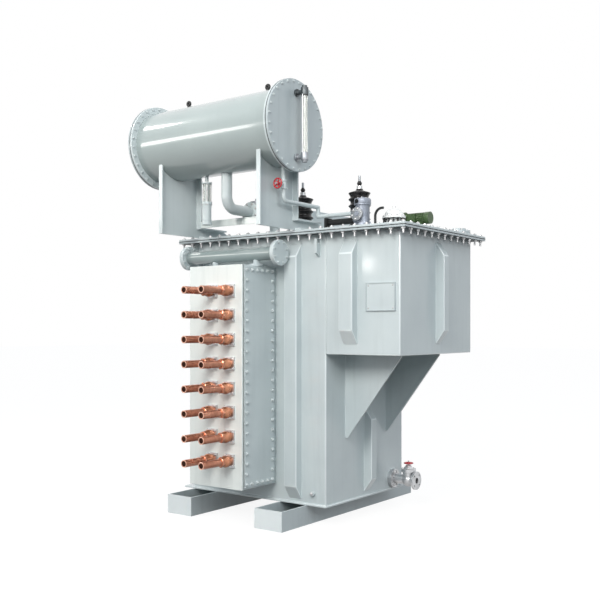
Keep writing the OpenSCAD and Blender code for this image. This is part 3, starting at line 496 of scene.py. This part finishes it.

# painted highlight and painted shade on faces, told apart by which way they face and where they lie
facing = {"square": 0.9, "lip": 0.6, "slope": 0.3}
skidZones = {"endY": 1.0, "lipZ": 0.15, "floorZ": 0.1}
# rim: painted shade on the underside
eased["tank_rim"].data.materials.append(shadowPaint)
for polygon in eased["tank_rim"].data.polygons:
    polygon.material_index = 1 if polygon.normal.z < -facing["square"] else 0
# skids: painted highlight on the end faces and lips, painted shade on the trough floors
eased["skids"].data.materials.append(highlightPaint)
eased["skids"].data.materials.append(shadowPaint)
for polygon in eased["skids"].data.polygons:
    atEnd = abs(polygon.normal.y) > facing["square"] and abs(polygon.center.y) > skidZones["endY"]
    onLip = polygon.normal.z > facing["lip"] and polygon.center.z > skidZones["lipZ"]
    inTrough = polygon.normal.z > facing["square"] and polygon.center.z < skidZones["floorZ"]
    polygon.material_index = 1 if atEnd or onLip else 2 if inTrough else 0
# stiffeners: painted highlight on the down-facing lower slopes
for nodeName in ("front_stiffeners", "rear_stiffeners", "end_stiffeners"):
    for polygon in eased[nodeName].data.polygons:
        if polygon.normal.z < -facing["slope"]:
            polygon.material_index = 1
print("plates eased:", len(easedPlates))

# bolts round the rim, heads above the cover and nuts below
rimBolts = {"pitch": 0.108, "inset": 0.032, "size": 0.0175, "tail": 0.044, "tailShare": 0.5, "headTurn": 0.7,
            "nutTurn": 1.3}
coverLow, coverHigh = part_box("top_cover")
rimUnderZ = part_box("tank_rim")[0].z


def alongRim(pitch, inset):
    x0, x1 = coverLow.x + inset, coverHigh.x - inset
    y0, y1 = coverLow.y + inset, coverHigh.y - inset
    spots = []
    across = round((x1 - x0) / pitch)
    deep = round((y1 - y0) / pitch)
    for i in range(across + 1):
        x = x0 + (x1 - x0) * i / across
        spots += [(x, y0), (x, y1)]
    for i in range(1, deep):
        y = y0 + (y1 - y0) * i / deep
        spots += [(x0, y), (x1, y)]
    return spots


bm = bmesh.new()
for count, (x, y) in enumerate(alongRim(rimBolts["pitch"], rimBolts["inset"])):
    addBolt(bm, (x, y, coverHigh.z), axisUp, rimBolts["size"], count * rimBolts["headTurn"])
    addBolt(bm, (x, y, rimUnderZ), axisDown, rimBolts["size"], count * rimBolts["nutTurn"])
    addDisc(bm, (x, y, rimUnderZ), axisDown, rimBolts["size"] * rimBolts["tailShare"], rimBolts["tail"], 8)
keepPiece(bm, "rim_bolts", boltSteel)
print("rim bolts done")

# conservator cover bolts at both ends, through cover and flange
coverBolts = {"count": 28, "radius": 0.336, "size": 0.0105, "plates": 2}
coverFaces = (("conservator_right_cover", 1), ("conservator_left_cover", -1))
bm = bmesh.new()
for nodeName, face in coverFaces:
    low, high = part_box(nodeName)
    x = high.x if face > 0 else low.x
    endBolts(bm, (low + high) / 2, x, x - face * coverBolts["plates"] * (high.x - low.x), face, coverBolts)
keepPiece(bm, "conservator_bolts", boltPaint)

# low-voltage box: bolts along the side covers
sideBolts = {"rows": 22, "columns": 6, "inset": 0.026, "size": 0.0155, "turn": 0.9}
sideLow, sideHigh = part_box("lv_side_covers")
y0, y1 = sideLow.y + sideBolts["inset"], sideHigh.y - sideBolts["inset"]
z0, z1 = sideLow.z + sideBolts["inset"], sideHigh.z - sideBolts["inset"]
bm = bmesh.new()
for face, x in ((1, sideHigh.x), (-1, sideLow.x)):
    for i in range(sideBolts["rows"]):
        z = z0 + (z1 - z0) * i / (sideBolts["rows"] - 1)
        for y in (y0, y1):
            addBolt(bm, (x, y, z), (face, 0, 0), sideBolts["size"], i * sideBolts["turn"])
    for i in range(1, sideBolts["columns"] - 1):
        y = y0 + (y1 - y0) * i / (sideBolts["columns"] - 1)
        for z in (z0, z1):
            addBolt(bm, (x, y, z), (face, 0, 0), sideBolts["size"], i * sideBolts["turn"])
keepPiece(bm, "side_cover_bolts", boltPaint)

# clamp flange bolts round every copper tube
tubes = {"x": (0.006, 0.190), "firstZ": 0.53725, "pitch": 0.1945, "rows": 8}
tubeSpots = [(x, tubes["firstZ"] + tubes["pitch"] * row) for x in tubes["x"] for row in range(tubes["rows"])]
clampBolts = {"reach": 0.038, "size": 0.010}
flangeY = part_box("tube_flanges")[0].y
bm = bmesh.new()
for x, z in tubeSpots:
    for stepX in (-clampBolts["reach"], clampBolts["reach"]):
        for stepZ in (-clampBolts["reach"], clampBolts["reach"]):
            addBolt(bm, (x + stepX, flangeY, z + stepZ), axisFront, clampBolts["size"], x + z)
keepPiece(bm, "clamp_bolts", boltSteel)

# painted shade: a near-black plug in the tube bores, and a pale cut ring at the mouths
tubeMouth = {"bore": 0.0218, "depth": 0.3, "inset": 0.004, "edge": 0.0265, "wire": 0.003, "edgeInset": 0.0022}
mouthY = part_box("copper_tubes")[0].y
bm = bmesh.new()
for x, z in tubeSpots:
    addDisc(bm, (x, mouthY + tubeMouth["inset"], z), axisBack, tubeMouth["bore"], tubeMouth["depth"])
keepPiece(bm, "tube_bore_shade", boreShade)
bm = bmesh.new()
for x, z in tubeSpots:
    addRing(bm, (x, mouthY + tubeMouth["edgeInset"], z), axisFront, tubeMouth["edge"], tubeMouth["wire"], 28, 8)
keepPiece(bm, "tube_mouths", cutCopper)

# hexagon union nuts with a chamfer, and a ring behind them
unionNut = {"start": -1.236, "corner": 0.042, "length": 0.02, "chamfer": 0.004, "chamferShare": 0.86, "turn": 9,
            "ringAt": -1.2, "ring": 0.0445, "wire": 0.003}
nutEnd = unionNut["start"] - unionNut["length"]
bm = bmesh.new()
for x, z in tubeSpots:
    twist = x * unionNut["turn"] + z
    addDisc(bm, (x, unionNut["start"], z), axisFront, unionNut["corner"], unionNut["length"], 6, twist=twist)
    addDisc(bm, (x, nutEnd, z), axisFront, unionNut["corner"], unionNut["chamfer"], 6,
            unionNut["corner"] * unionNut["chamferShare"], twist)
    addRing(bm, (x, unionNut["ringAt"], z), axisFront, unionNut["ring"], unionNut["wire"], 24, 6)
keepPiece(bm, "union_nuts", copperTube)
print("copper tubes dressed")

# header flange bolts
headerBolts = {"count": 8, "radius": 0.084, "size": 0.012, "grip": 0.036}
low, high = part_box("header_flanges")
bm = bmesh.new()
for face, x in ((1, high.x), (-1, low.x)):
    endBolts(bm, (low + high) / 2, x, x - face * headerBolts["grip"], face, headerBolts)
keepPiece(bm, "header_bolts", boltPaint)

# bolt circles on flanges and covers
onCover = {"leftBushing": (0.364, -0.39), "rightBushing": (0.940, -0.39), "tapGear": (1.085, -0.57),
           "dome": (1.284, -0.42), "handHole": (1.466, 0.33), "mainPipe": (0.064, -0.40)}
coverTop = coverHigh.z


def overCover(name, height):
    return (*onCover[name], coverTop + height)


gearPlate = (onCover["tapGear"][0], -0.662, coverTop + 0.105)
boltCircles = {
    # place, axis, radius, count, size
    "leftBushing": (overCover("leftBushing", 0.016), axisUp, 0.098, 8, 0.0078),
    "rightBushing": (overCover("rightBushing", 0.016), axisUp, 0.098, 8, 0.0078),
    "gearFoot": (overCover("tapGear", 0.014), axisUp, 0.066, 8, 0.009),
    "gearLid": (overCover("tapGear", 0.234), axisUp, 0.045, 8, 0.006),
    "gearPlate": (gearPlate, axisFront, 0.042, 6, 0.008),
    "dome": (overCover("dome", 0.091), axisUp, 0.082, 14, 0.010),
    "handHole": (overCover("handHole", 0.034), axisUp, 0.092, 10, 0.011),
    "pipeFoot": (overCover("mainPipe", 0.014), axisUp, 0.068, 6, 0.011),
    "relayFront": ((onCover["mainPipe"][0], -0.744, coverTop + 0.19), axisFront, 0.072, 8, 0.009),
    "relayBack": ((onCover["mainPipe"][0], -0.526, coverTop + 0.19), axisBack, 0.072, 8, 0.009),
    "drainFlange": ((0.85, 0.34, 0.26), axisRight, 0.062, 8, 0.011),
    "drainBonnet": ((0.985, 0.34, 0.358), axisUp, 0.055, 8, 0.008)}
bm = bmesh.new()
for circle in boltCircles.values():
    boltCircle(bm, *circle)
keepPiece(bm, "fitting_bolts", boltSteel)

# dark studs between the two flanges of the dome
turretStuds = {"count": 14, "radius": 0.082, "low": 0.015, "high": 0.076, "size": 0.012, "shank": 0.55}
bm = bmesh.new()
for turn in ringTurns(turretStuds["count"]):
    out = Vector((math.cos(turn), math.sin(turn), 0)) * turretStuds["radius"]
    foot = Vector(overCover("dome", turretStuds["low"])) + out
    head = Vector(overCover("dome", turretStuds["high"])) + out
    addDisc(bm, foot, axisUp, turretStuds["size"] * turretStuds["shank"], turretStuds["high"] - turretStuds["low"], 8)
    addBolt(bm, head, axisDown, turretStuds["size"], turn)
    addBolt(bm, foot, axisUp, turretStuds["size"], turn)
keepPiece(bm, "turret_studs", blackPaint)

# dark seals: seam beside the front panel, gaskets under the top cover and the conservator's covers
seams = {"proud": 0.0025, "inset": 0.002, "gasket": 0.0035, "lip": 0.0006, "roundLip": 0.0005}
boxLow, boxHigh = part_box("lv_box")
panelLow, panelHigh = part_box("lv_panel")
bm = bmesh.new()
for x, face in ((boxHigh.x, 1), (boxLow.x, -1)):
    near, far = sorted((x, x + face * seams["proud"]))
    addBox(bm, (near, panelHigh.y, panelLow.z + seams["inset"]), (far, sideLow.y, panelHigh.z - seams["inset"]))
keepPiece(bm, "panel_seams", darkSeal)
outX = (coverLow.x - seams["lip"], coverHigh.x + seams["lip"])
outY = (coverLow.y - seams["lip"], coverHigh.y + seams["lip"])
inX = (coverLow.x + seams["inset"], coverHigh.x - seams["inset"])
inY = (coverLow.y + seams["inset"], coverHigh.y - seams["inset"])
z0, z1 = coverLow.z - seams["gasket"], coverLow.z + seams["gasket"]
bm = bmesh.new()
addBox(bm, (outX[0], outY[0], z0), (outX[1], inY[0], z1))
addBox(bm, (outX[0], inY[1], z0), (outX[1], outY[1], z1))
addBox(bm, (outX[0], inY[0], z0), (inX[0], inY[1], z1))
addBox(bm, (inX[1], inY[0], z0), (outX[1], inY[1], z1))
keepPiece(bm, "cover_gasket", darkSeal)
bm = bmesh.new()
for nodeName, face in coverFaces:
    low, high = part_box(nodeName)
    mid = (low + high) / 2
    x = low.x if face > 0 else high.x
    addDisc(bm, (x - seams["gasket"], mid.y, mid.z), axisRight, (high.z - low.z) / 2 + seams["roundLip"],
            2 * seams["gasket"], 96)
keepPiece(bm, "conservator_gaskets", darkSeal)

# weld beads along the stiffeners, the gussets, the tap compartment's corners and the tank's foot
tank = {"x": (-0.636, 0.814), "y": (-0.69, 0.52), "foot": 0.176, "top": 2.352, "tapFloor": 1.389, "tapEnd": 1.496}
beads = {"size": 0.0042, "cornerShare": 0.8, "ribHalf": 0.0625, "frontRibs": (0.512, -0.506),
         "rearRibs": (0.512, 0.003, -0.506), "ribZ": (0.21, 2.282), "tapRib": 1.05, "tapRibZ": (1.479, 2.282),
         "endRibY": (-0.125, -0.045), "endRibZ": (0.216, 0.925), "gussetY": (-0.413, -0.397, 0.227, 0.243),
         "gussetFoot": 0.7, "gussetEnd": 1.344}


def uprightBead(bm, x, y, span, share=1.0):
    addBead(bm, (x, y, span[0]), (x, y, span[1]), beads["size"] * share)


bm = bmesh.new()
endX = tank["x"][1]
for y, ribs in zip(tank["y"], (beads["frontRibs"], beads["rearRibs"])):
    for x in ribs:
        uprightBead(bm, x - beads["ribHalf"], y, beads["ribZ"])
        uprightBead(bm, x + beads["ribHalf"], y, beads["ribZ"])
for y in tank["y"]:
    uprightBead(bm, beads["tapRib"] - beads["ribHalf"], y, beads["tapRibZ"])
    uprightBead(bm, beads["tapRib"] + beads["ribHalf"], y, beads["tapRibZ"])
for y in beads["endRibY"]:
    uprightBead(bm, tank["tapEnd"], y, beads["tapRibZ"])
    uprightBead(bm, endX, y, beads["endRibZ"])
for y in beads["gussetY"]:
    uprightBead(bm, endX, y, (beads["gussetFoot"], tank["tapFloor"]))
    addBead(bm, (endX, y, tank["tapFloor"]), (beads["gussetEnd"], y, tank["tapFloor"]), beads["size"])
for y in tank["y"]:
    uprightBead(bm, endX, y, (tank["tapFloor"], tank["top"]), beads["cornerShare"])
for y in tank["y"]:
    addBead(bm, (tank["x"][0], y, tank["foot"]), (endX, y, tank["foot"]), beads["size"])
for x in reversed(tank["x"]):
    addBead(bm, (x, tank["y"][0], tank["foot"]), (x, tank["y"][1], tank["foot"]), beads["size"])
keepPiece(bm, "weld_beads", greyPaint)
print("welds laid")

# high-voltage bushings: low ribs of one width under a flat hood, on a bolted ring
bushing = {"places": ("leftBushing", "rightBushing"), "ring": 0.107, "ringThick": 0.016, "core": 0.074,
           "rib": 0.0905, "ribHeights": (0.028, 0.082, 0.136, 0.190, 0.244), "turns": 56}
ribShape = ((0.0, -0.017), (0.6, -0.008), (0.94, -0.003), (1.0, 0.0), (0.94, 0.003), (0.6, 0.008), (0.0, 0.017))
hoodShape = ((0.074, 0.264), (0.080, 0.278), (0.0885, 0.290), (0.0905, 0.295), (0.0885, 0.299), (0.058, 0.309),
             (0.036, 0.316), (0.030, 0.322), (0.028, 0.330), (0.0, 0.330))
reach = bushing["rib"] - bushing["core"]
profile = [(0.0, 0.0), (bushing["core"], 0.0)]
for height in bushing["ribHeights"]:
    profile += [(bushing["core"] + reach * share, height + step) for share, step in ribShape]
profile += hoodShape
bm = bmesh.new()
for name in bushing["places"]:
    addLathe(bm, profile, overCover(name, bushing["ringThick"]), bushing["turns"])
porcelainFaces = len(bm.faces)
for name in bushing["places"]:
    addDisc(bm, overCover(name, 0), axisUp, bushing["ring"], bushing["ringThick"], 48)
bm.faces.ensure_lookup_table()
for face in bm.faces[porcelainFaces:]:
    face.material_index = 1
piece = keepPiece(bm, "hv_bushings_turned", glazedBlack, sharp=50)
piece.data.materials.append(shadePaint)
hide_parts("hv_bushings")

# high-voltage terminals: plated cap, black ball nut and bright stud
terminalBall = {"low": 0.374, "high": 0.411}
bm = mergedCopy("hv_terminals")
for face in bm.faces:
    height = face.calc_center_median().z - coverTop
    face.material_index = 2 if height <= terminalBall["low"] else 1 if height < terminalBall["high"] else 0
piece = keepPiece(bm, "hv_terminals_dressed", brightAlloy, sharp=30)
piece.data.materials.append(glazedBlack)
piece.data.materials.append(zincPlate)
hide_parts("hv_terminals")

# tap gear: cast body and head, bright face plate with a hub, dark plug
tapGear = {"ease": 0.0025, "plateY": -0.648, "hub": 0.02, "hubThick": 0.005, "hubShare": 0.8, "headTurns": 40}
gearPlug = {"angle": 259.0, "up": 0.208, "start": 0.038, "size": 0.017, "length": 0.036, "boltShare": 0.6}
headShape = ((0.0, 0.186), (0.064, 0.186), (0.067, 0.191), (0.067, 0.222), (0.063, 0.231), (0.058, 0.234),
             (0.0, 0.234))
bm = bevelledCopy("tap_gear", tapGear["ease"])[0]
for face in bm.faces:
    if face.calc_center_median().y < tapGear["plateY"]:
        face.material_index = 1
piece = keepPiece(bm, "tap_gear_dressed", castAlloy, sharp=30)
piece.data.materials.append(brightAlloy)
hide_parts("tap_gear")
turn = math.radians(gearPlug["angle"])
out = Vector((math.cos(turn), math.sin(turn), 0))
spot = Vector(overCover("tapGear", gearPlug["up"])) + out * gearPlug["start"]
bm = bmesh.new()
addDisc(bm, spot, out, gearPlug["size"], gearPlug["length"], 16)
addBolt(bm, spot + out * gearPlug["length"], out, gearPlug["size"] * gearPlug["boltShare"])
keepPiece(bm, "gear_plug", blackPaint)
bm = bmesh.new()
addLathe(bm, headShape, overCover("tapGear", 0), tapGear["headTurns"])
addDisc(bm, gearPlate, axisFront, tapGear["hub"], tapGear["hubThick"], topRadius=tapGear["hub"] * tapGear["hubShare"])
keepPiece(bm, "gear_head", castAlloy)

# level gauge: bright lower cap, white scale behind the glass and a guard rod each side
gaugeParts = {"ease": 0.003, "core": 0.012, "coreGap": 0.001, "rod": 0.005, "rodGrip": 0.004, "spread": 0.027}
glassLow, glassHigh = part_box("gauge_glass")
glassMid = (glassLow + glassHigh) / 2
glassTall = glassHigh.z - glassLow.z
piece = softEdged("level_gauge", gaugeParts["ease"])
piece.data.materials.append(brightAlloy)
for polygon in piece.data.polygons:
    polygon.material_index = 1 if polygon.center.z < glassMid.z else 0
bm = bmesh.new()
addDisc(bm, (glassMid.x, glassMid.y, glassLow.z + gaugeParts["coreGap"]), axisUp, gaugeParts["core"],
        glassTall - 2 * gaugeParts["coreGap"], 20)
keepPiece(bm, "gauge_scale", whitePaint)
bm = bmesh.new()
for y in (glassMid.y - gaugeParts["spread"], glassMid.y + gaugeParts["spread"]):
    addDisc(bm, (glassMid.x, y, glassLow.z - gaugeParts["rodGrip"]), axisUp, gaugeParts["rod"],
            glassTall + 2 * gaugeParts["rodGrip"], 10)
keepPiece(bm, "gauge_guard", zincPlate)

# bare plate: a screw at each corner, and a thin raised frame in darker paint as painted shadow round the plate
plateScrew = {"inset": 0.016, "size": 0.007, "height": 0.003, "top": 0.004}
plateFrame = {"wide": 0.006, "proud": 0.004}
low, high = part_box("rating_plate")
bm = bmesh.new()
for x in (low.x + plateScrew["inset"], high.x - plateScrew["inset"]):
    for z in (low.z + plateScrew["inset"], high.z - plateScrew["inset"]):
        addDisc(bm, (x, low.y, z), axisFront, plateScrew["size"], plateScrew["height"], 12, plateScrew["top"])
keepPiece(bm, "plate_screws", boltSteel)
wide, front, back = plateFrame["wide"], low.y - plateFrame["proud"], high.y
bm = bmesh.new()
addBox(bm, (low.x - wide, front, high.z), (high.x + wide, back, high.z + wide))
addBox(bm, (low.x - wide, front, low.z - wide), (high.x + wide, back, low.z))
addBox(bm, (low.x - wide, front, low.z), (low.x, back, high.z))
addBox(bm, (high.x, front, low.z), (high.x + wide, back, high.z))
keepPiece(bm, "plate_frame", shadePaint)

# earth bolt
earthBolt = {"size": 0.012}
low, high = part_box("earth_boss")
mid = (low + high) / 2
bm = bmesh.new()
addBolt(bm, (mid.x, low.y, mid.z), axisFront, earthBolt["size"])
keepPiece(bm, "earth_bolt", boltSteel)

# lifting eyes of the conservator, thick rings on short stems
eyes = {"places": (-0.365, 0.495), "y": -1.032, "middle": 3.502, "ring": 0.0145, "wire": 0.0115, "stem": 0.012,
        "foot": 3.458}
bm = bmesh.new()
for x in eyes["places"]:
    addRing(bm, (x, eyes["y"], eyes["middle"]), axisBack, eyes["ring"], eyes["wire"], 32, 12)
    addDisc(bm, (x, eyes["y"], eyes["foot"]), axisUp, eyes["stem"], eyes["middle"] - eyes["foot"] - eyes["ring"], 20)
piece = keepPiece(bm, "conservator_eyes_thick", blackPaint)
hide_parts("conservator_eyes")

# breather: upper chamber of glass, tie rods and clamp rings
breather = {"place": (-0.158, -1.032), "low": 2.65, "high": 2.80, "chamber": 0.031, "gap": 0.001, "rods": 4,
            "rodAt": 0.0365, "rod": 0.0045, "bolt": 0.008, "footThick": 0.02, "cap": 0.042, "capThick": 0.012,
            "ringZ": (2.50, 2.61), "ring": 0.0375, "wire": 0.004}
chamberTall = breather["high"] - breather["low"]
bm = bmesh.new()
for turn in ringTurns(breather["rods"]):
    spot = Vector((*breather["place"], 0)) + Vector((math.cos(turn), math.sin(turn), 0)) * breather["rodAt"]
    addDisc(bm, (spot.x, spot.y, breather["low"]), axisUp, breather["rod"], chamberTall, 10)
    addBolt(bm, (spot.x, spot.y, breather["high"] + breather["capThick"]), axisUp, breather["bolt"], turn)
    addBolt(bm, (spot.x, spot.y, breather["low"] - breather["footThick"]), axisDown, breather["bolt"], turn)
keepPiece(bm, "breather_rods", boltSteel)
bm = bmesh.new()
addDisc(bm, (*breather["place"], breather["high"]), axisUp, breather["cap"], breather["capThick"], 36)
for z in breather["ringZ"]:
    addRing(bm, (*breather["place"], z), axisUp, breather["ring"], breather["wire"], 36, 8)
keepPiece(bm, "breather_rings", greyPaint)
bm = bmesh.new()
addDisc(bm, (*breather["place"], breather["low"] + breather["gap"]), axisUp, breather["chamber"],
        chamberTall - 2 * breather["gap"], 36)
keepPiece(bm, "breather_chamber", sightGlass)

# gas relay: sight window each side
relayWindow = {"y": -0.635, "z": 2.585, "sides": ((-0.002, -1), (0.130, 1)), "ring": 0.03, "wire": 0.005,
               "glass": 0.003, "bolts": 6, "boltOut": 0.008, "bolt": 0.006}
bm = bmesh.new()
for x, face in relayWindow["sides"]:
    spot, way = (x, relayWindow["y"], relayWindow["z"]), (face, 0, 0)
    addRing(bm, spot, way, relayWindow["ring"], relayWindow["wire"], 32, 8)
    boltCircle(bm, spot, way, relayWindow["ring"] + relayWindow["boltOut"], relayWindow["bolts"], relayWindow["bolt"])
keepPiece(bm, "relay_window_rings", boltSteel)
bm = bmesh.new()
for x, face in relayWindow["sides"]:
    spot, way = (x, relayWindow["y"], relayWindow["z"]), (face, 0, 0)
    addDisc(bm, spot, way, relayWindow["ring"], relayWindow["glass"], 28)
keepPiece(bm, "relay_windows", glazedBlack)
print("fittings dressed")

# studio: pale floor, white surround, soft lamps
floorSet = {"size": 60, "matt": (0.12, 0.12, 0.12, 1), "glow": 0.905}
floorMesh = bpy.data.meshes.new("floor")
bm = bmesh.new()
bmesh.ops.create_grid(bm, x_segments=1, y_segments=1, size=floorSet["size"])
bm.to_mesh(floorMesh)
bm.free()
floor = bpy.data.objects.new("floor", floorMesh)
bpy.context.scene.collection.objects.link(floor)


def pickSurround(tree, plain, shown, end):
    # what the camera, glossy and transmission rays see, apart from what lights the part
    path = tree.nodes.new("ShaderNodeLightPath")
    seen = mathNode(tree, "MAXIMUM", path.outputs["Is Camera Ray"], path.outputs["Is Glossy Ray"])
    seen = mathNode(tree, "MAXIMUM", seen, path.outputs["Is Transmission Ray"])
    pick = tree.nodes.new("ShaderNodeMixShader")
    for place, value in enumerate((seen, plain.outputs[0], shown.outputs[0])):
        tree.links.new(value, pick.inputs[place])
    tree.links.new(pick.outputs[0], end.inputs[0])


floorMaterial = bpy.data.materials.new("paleFloor")
floorMaterial.use_nodes = True
tree = floorMaterial.node_tree
tree.nodes.clear()
matt = tree.nodes.new("ShaderNodeBsdfDiffuse")
matt.inputs["Color"].default_value = floorSet["matt"]
white = tree.nodes.new("ShaderNodeEmission")
white.inputs["Strength"].default_value = floorSet["glow"]
blend = tree.nodes.new("ShaderNodeAddShader")
tree.links.new(matt.outputs[0], blend.inputs[0])
tree.links.new(white.outputs[0], blend.inputs[1])
pickSurround(tree, matt, blend, tree.nodes.new("ShaderNodeOutputMaterial"))
floorMesh.materials.append(floorMaterial)

skySet = {"horizon": 0.55, "zenith": 0.9, "tint": (0.9, 0.945, 1.0, 1)}
world = bpy.data.worlds.new("studio")
bpy.context.scene.world = world
world.use_nodes = True
tree = world.node_tree
tree.nodes.clear()
soft = tree.nodes.new("ShaderNodeBackground")
soft.inputs["Color"].default_value = skySet["tint"]
heading = tree.nodes.new("ShaderNodeSeparateXYZ")
tree.links.new(tree.nodes.new("ShaderNodeTexCoord").outputs["Generated"], heading.inputs[0])
overhead = tree.nodes.new("ShaderNodeMapRange")
overhead.inputs["From Min"].default_value = 0.0
overhead.inputs["From Max"].default_value = 1.0
overhead.inputs["To Min"].default_value = skySet["horizon"]
overhead.inputs["To Max"].default_value = skySet["zenith"]
tree.links.new(heading.outputs["Z"], overhead.inputs["Value"])
tree.links.new(overhead.outputs["Result"], soft.inputs["Strength"])
bright = tree.nodes.new("ShaderNodeBackground")
bright.inputs["Color"].default_value = (1, 1, 1, 1)
bright.inputs["Strength"].default_value = 1.0
pickSurround(tree, soft, bright, tree.nodes.new("ShaderNodeOutputWorld"))

warm, cool = (1.0, 0.97, 0.93), (0.93, 0.97, 1.0)
lampSet = {
    "frontKey": {"place": (2.3, -7.4, 5.6), "aim": (0.2, 0, 1.6), "power": 440, "size": (4, 3), "tint": warm},
    "rightFill": {"place": (8.0, -4.0, 5.5), "aim": (0.8, 0, 1.8), "power": 170, "size": (4, 4), "tint": cool},
    "midStreak": {"place": (-4.5, -5.9, 3.7), "aim": (0.0, -1.2, 3.2), "power": 60, "size": (2.2, 0.9), "tint": warm},
    "leftStreak": {"place": (-4.9, -3.1, 7.0), "aim": (-0.4, -1.2, 3.3), "power": 45, "size": (1.6, 0.5),
                   "tint": warm},
    "wallGlint": {"place": (-3.4, -8.0, 2.74), "aim": (1.2, -0.7, 2.1), "power": 5, "size": (0.1, 0.24), "tint": warm}}
for name, lampInfo in lampSet.items():
    lamp = bpy.data.lights.new(name, "AREA")
    lamp.shape = "RECTANGLE"
    lamp.size, lamp.size_y = lampInfo["size"]
    lamp.energy = lampInfo["power"]
    lamp.color = lampInfo["tint"]
    holder = bpy.data.objects.new(name, lamp)
    holder.location = lampInfo["place"]
    aim = Vector(lampInfo["aim"]) - Vector(lampInfo["place"])
    holder.rotation_euler = aim.to_track_quat("-Z", "Y").to_euler()
    bpy.context.scene.collection.objects.link(holder)
print("studio lit")
